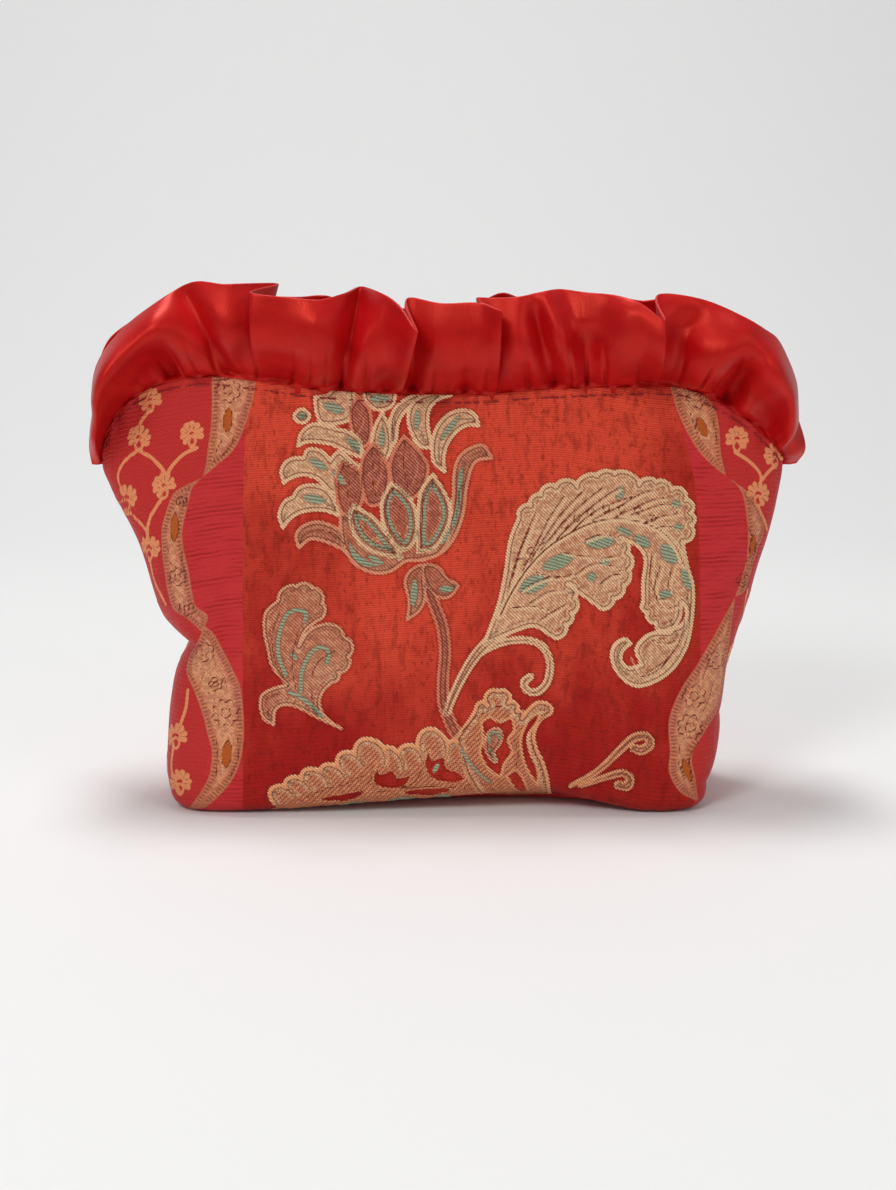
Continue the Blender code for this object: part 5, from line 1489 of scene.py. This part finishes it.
def tube(path, radius, sides=8):
    """Points, faces and cloth places of a round tube along a path, whose radius may change along it."""
    path = np.asarray(path, float)
    along = np.gradient(path, axis=0)
    along /= np.linalg.norm(along, axis=1, keepdims=True)
    side = np.cross(along, np.where(np.abs(along[:, 2:]) > 0.9, (0, 1.0, 0), (0, 0, 1.0)))
    side /= np.linalg.norm(side, axis=1, keepdims=True)
    over_side = np.cross(side, along)
    radius = np.broadcast_to(radius, len(path))[:, None]
    turns = np.linspace(0, 2 * math.pi, sides, endpoint=False)
    rings = [path + radius * (math.cos(t) * side + math.sin(t) * over_side) for t in turns]
    points = np.stack(rings, axis=1)
    length = walked(path)
    uv = np.stack(np.broadcast_arrays(length[:, None], (turns * radius.max())[None]), axis=2)
    i, j = np.meshgrid(np.arange(len(path) - 1), np.arange(sides), indexing="ij")
    after = (j + 1) % sides
    faces = np.stack([i * sides + j, i * sides + after, (i + 1) * sides + after, (i + 1) * sides + j], axis=-1)
    ends = [tuple(range(sides))[::-1], tuple(range((len(path) - 1) * sides, len(path) * sides))]
    return points.reshape(-1, 3), [tuple(f) for f in faces.reshape(-1, 4)] + ends, uv.reshape(-1, 2)


def gather_parts(parts):
    points, faces, uvs, count = [], [], [], 0
    for part_points, part_faces, part_uv in parts:
        faces += [tuple(k + count for k in face) for face in part_faces]
        points.append(part_points)
        uvs.append(part_uv)
        count += len(part_points)
    return np.concatenate(points), faces, np.concatenate(uvs)


for name, facing in (("front_topstitch", -1), ("back_topstitch", 1)):
    across = np.linspace(-STITCH_ENDS, STITCH_ENDS, STITCH_SAMPLES)
    level = mouth_height(across) - STITCH_DROP
    x, y = shell_point(across, level, 0, facing)
    line = np.stack([x, y, level], axis=1)
    length = walked(line)
    stitches = []
    for start in np.arange(0, length[-1] - STITCH, STITCH + STITCH_GAP):
        steps = np.linspace(0, 1, STITCH_STEPS)
        at = start + STITCH * steps
        path = np.stack([np.interp(at, length, line[:, k]) for k in range(3)], axis=1)
        path[:, 1] += facing * THREAD_RADIUS * (STITCH_ARCH * np.sin(math.pi * steps) - STITCH_SINK)
        stitches.append(tube(path, THREAD_RADIUS))
    points, faces, uv = gather_parts(stitches)
    made = build(name, points, faces, thread, "pouch", uv=uv)


# ---- Zip tapes ----------------------------------------------------------------------------
# Woven polyester tapes, level where the slider runs and sewn to the panels inside the mouth.

TAPE, TAPE_SLOT, TAPE_END, TAPE_GAP, TAPE_SINK, TAPE_FLAT = 0.6 * MM, 1.6 * MM, 0.92, 0.6 * MM, 2.6 * MM, 4.5 * MM
TAPE_COLUMNS, TAPE_ROWS, TAPE_BUMP = 180, 14, 0.1 * MM
TAPES_MEET, TAPES_APART = (81 * MM, 84 * MM), 0.04 * MM
TAPE_RED, TAPE_DARK = (0.40, 0.012, 0.016, 1), (0.20, 0.006, 0.010, 1)

tape_weave, tree, shader = new_material("tape_weave", TAPE_RED[:3], 0.7)
herring = use_group(tree, threads, "Height", Rows=(900, 900, 0), Waver=0.1)
ridge = use_group(tree, threads, "Height", Rows=(0, 1100, 0), Waver=0.1)
weave = maths(tree, "MULTIPLY", herring, ridge)
tree.links.new(blend_colours(tree, weave, TAPE_DARK, TAPE_RED), shader.inputs["Base Color"])
set_bump(tree, shader, weave, TAPE_BUMP, 0.7)

for name, facing, node in (("front_tape_cloth", -1, "zip_tape_front"), ("back_tape_cloth", 1, "zip_tape_back")):
    across = np.linspace(-TAPE_END, TAPE_END, TAPE_COLUMNS + 1)
    seam = sewn_height(across)
    x, y = shell_point(across, seam, BROCADE + TAPE_GAP, facing)
    top = np.minimum(TAPE_TOP, mouth_height(across) - TAPE_SINK)
    slot = TAPE_SLOT + (TAPES_APART - TAPE_SLOT) * ease(*TAPES_MEET, np.abs(x))
    inner = np.stack([x, facing * slot / 2, top], axis=1)
    bend = np.stack([x, facing * np.minimum(TAPE_FLAT, (np.abs(y) + TAPE_SLOT / 2) / 2), top], axis=1)
    outer = np.stack([x, y, seam], axis=1)
    half = TAPE_ROWS // 2
    flat_part = [inner + (bend - inner) * t for t in np.linspace(0, 1, half + 1)]
    rising = [bend + (outer - bend) * t for t in np.linspace(0, 1, half + 1)[1:]]
    upper = np.array(flat_part + rising)
    rounded = upper.copy()
    rounded[1:-1] = (upper[:-2] + 2 * upper[1:-1] + upper[2:]) / 4
    grid = np.concatenate([rounded, rounded[::-1] - (0, 0, TAPE), rounded[:1]])
    cloth = cloth_lengths(grid, 0)
    made = build(name, grid, quads(*grid.shape[:2], flip=facing > 0).tolist(), tape_weave, "pouch", uv=cloth)
    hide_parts(node)


# ---- Zip coils ----------------------------------------------------------------------------
# Each side's teeth are the turns of one nylon thread, wound flat and sewn along the tape's edge.

CHAIN_START, CHAIN_END, RUNNING_GAP = -78 * MM, 66 * MM, 0.3 * MM
COIL_HEIGHT, COIL_WIDTH, COIL_TIP, COIL_THREAD, TURN_PITCH = 1.6 * MM, 2 * MM, 0.6 * MM, 0.3 * MM, 1.3 * MM
COIL_RED, COIL_LIGHT = (0.45, 0.020, 0.022, 1), (0.55, 0.035, 0.035, 1)
TURN_STEPS, COIL_SIDES = 12, 7

coil_nylon, tree, shader = new_material("coil_nylon", COIL_RED[:3], 0.32)
wear = use_group(tree, slubs, "Amount", Stretch=(1, 1, 1), Size=900.0, Detail=2.0)
tree.links.new(blend_colours(tree, wear, TAPE_DARK, COIL_LIGHT), shader.inputs["Base Color"])

for name, facing, node in (("front_coil_turns", -1, "zip_coil_front"), ("back_coil_turns", 1, "zip_coil_back")):
    turns = (CHAIN_END - CHAIN_START - 2 * COIL_THREAD) / TURN_PITCH
    angle = np.arange(0, 2 * math.pi * turns, 2 * math.pi / TURN_STEPS)
    x = CHAIN_START + COIL_THREAD + angle / (2 * math.pi) * TURN_PITCH
    start = math.pi if facing > 0 else 0
    y = COIL_TIP + COIL_WIDTH / 2 + (COIL_WIDTH / 2 - COIL_THREAD) * np.cos(angle + start)
    z = TAPE_TOP + RUNNING_GAP + COIL_HEIGHT / 2 + (COIL_HEIGHT / 2 - COIL_THREAD) * np.sin(angle)
    points, faces, uv = tube(np.stack([x, facing * y, z], axis=1), COIL_THREAD, COIL_SIDES)
    made = build(name, points, faces, coil_nylon, "pouch", uv=uv)
    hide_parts(node)


# ---- Zip metal ----------------------------------------------------------------------------
# The slider, its pull and the three stops are cast and stamped, with bright gilt plating.

GOLD, GOLD_WORN = (0.74, 0.52, 0.22, 1), (0.56, 0.38, 0.16, 1)
METAL_EDGE, METAL_ROUGH = 0.15 * MM, (0.3, 0.46)

gilt, tree, shader = new_material("gilt_metal", GOLD[:3], 0.24, Metallic=1.0)
place = wire(tree, "TexCoord", output="Object")
brushed = wire(tree, "TexNoise", {"Vector": place, "Scale": 900.0, "Detail": 4.0})
tree.links.new(blend_colours(tree, over(tree, 0.35, 0.7, brushed), GOLD, GOLD_WORN), shader.inputs["Base Color"])
rough = wire(tree, "MapRange", {0: brushed, 1: 0.3, 2: 0.7, 3: METAL_ROUGH[0], 4: METAL_ROUGH[1]})
tree.links.new(rough, shader.inputs["Roughness"])
for node in ("zip_slider", "zip_pull", "zip_bottom_stop", "zip_top_stop_front", "zip_top_stop_back"):
    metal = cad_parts[node]
    for slot in metal.material_slots:
        slot.material = gilt
    edge = metal.modifiers.new("edge", "BEVEL")
    edge.width, edge.segments, edge.limit_method = METAL_EDGE, 2, "ANGLE"
    edge.harden_normals = True
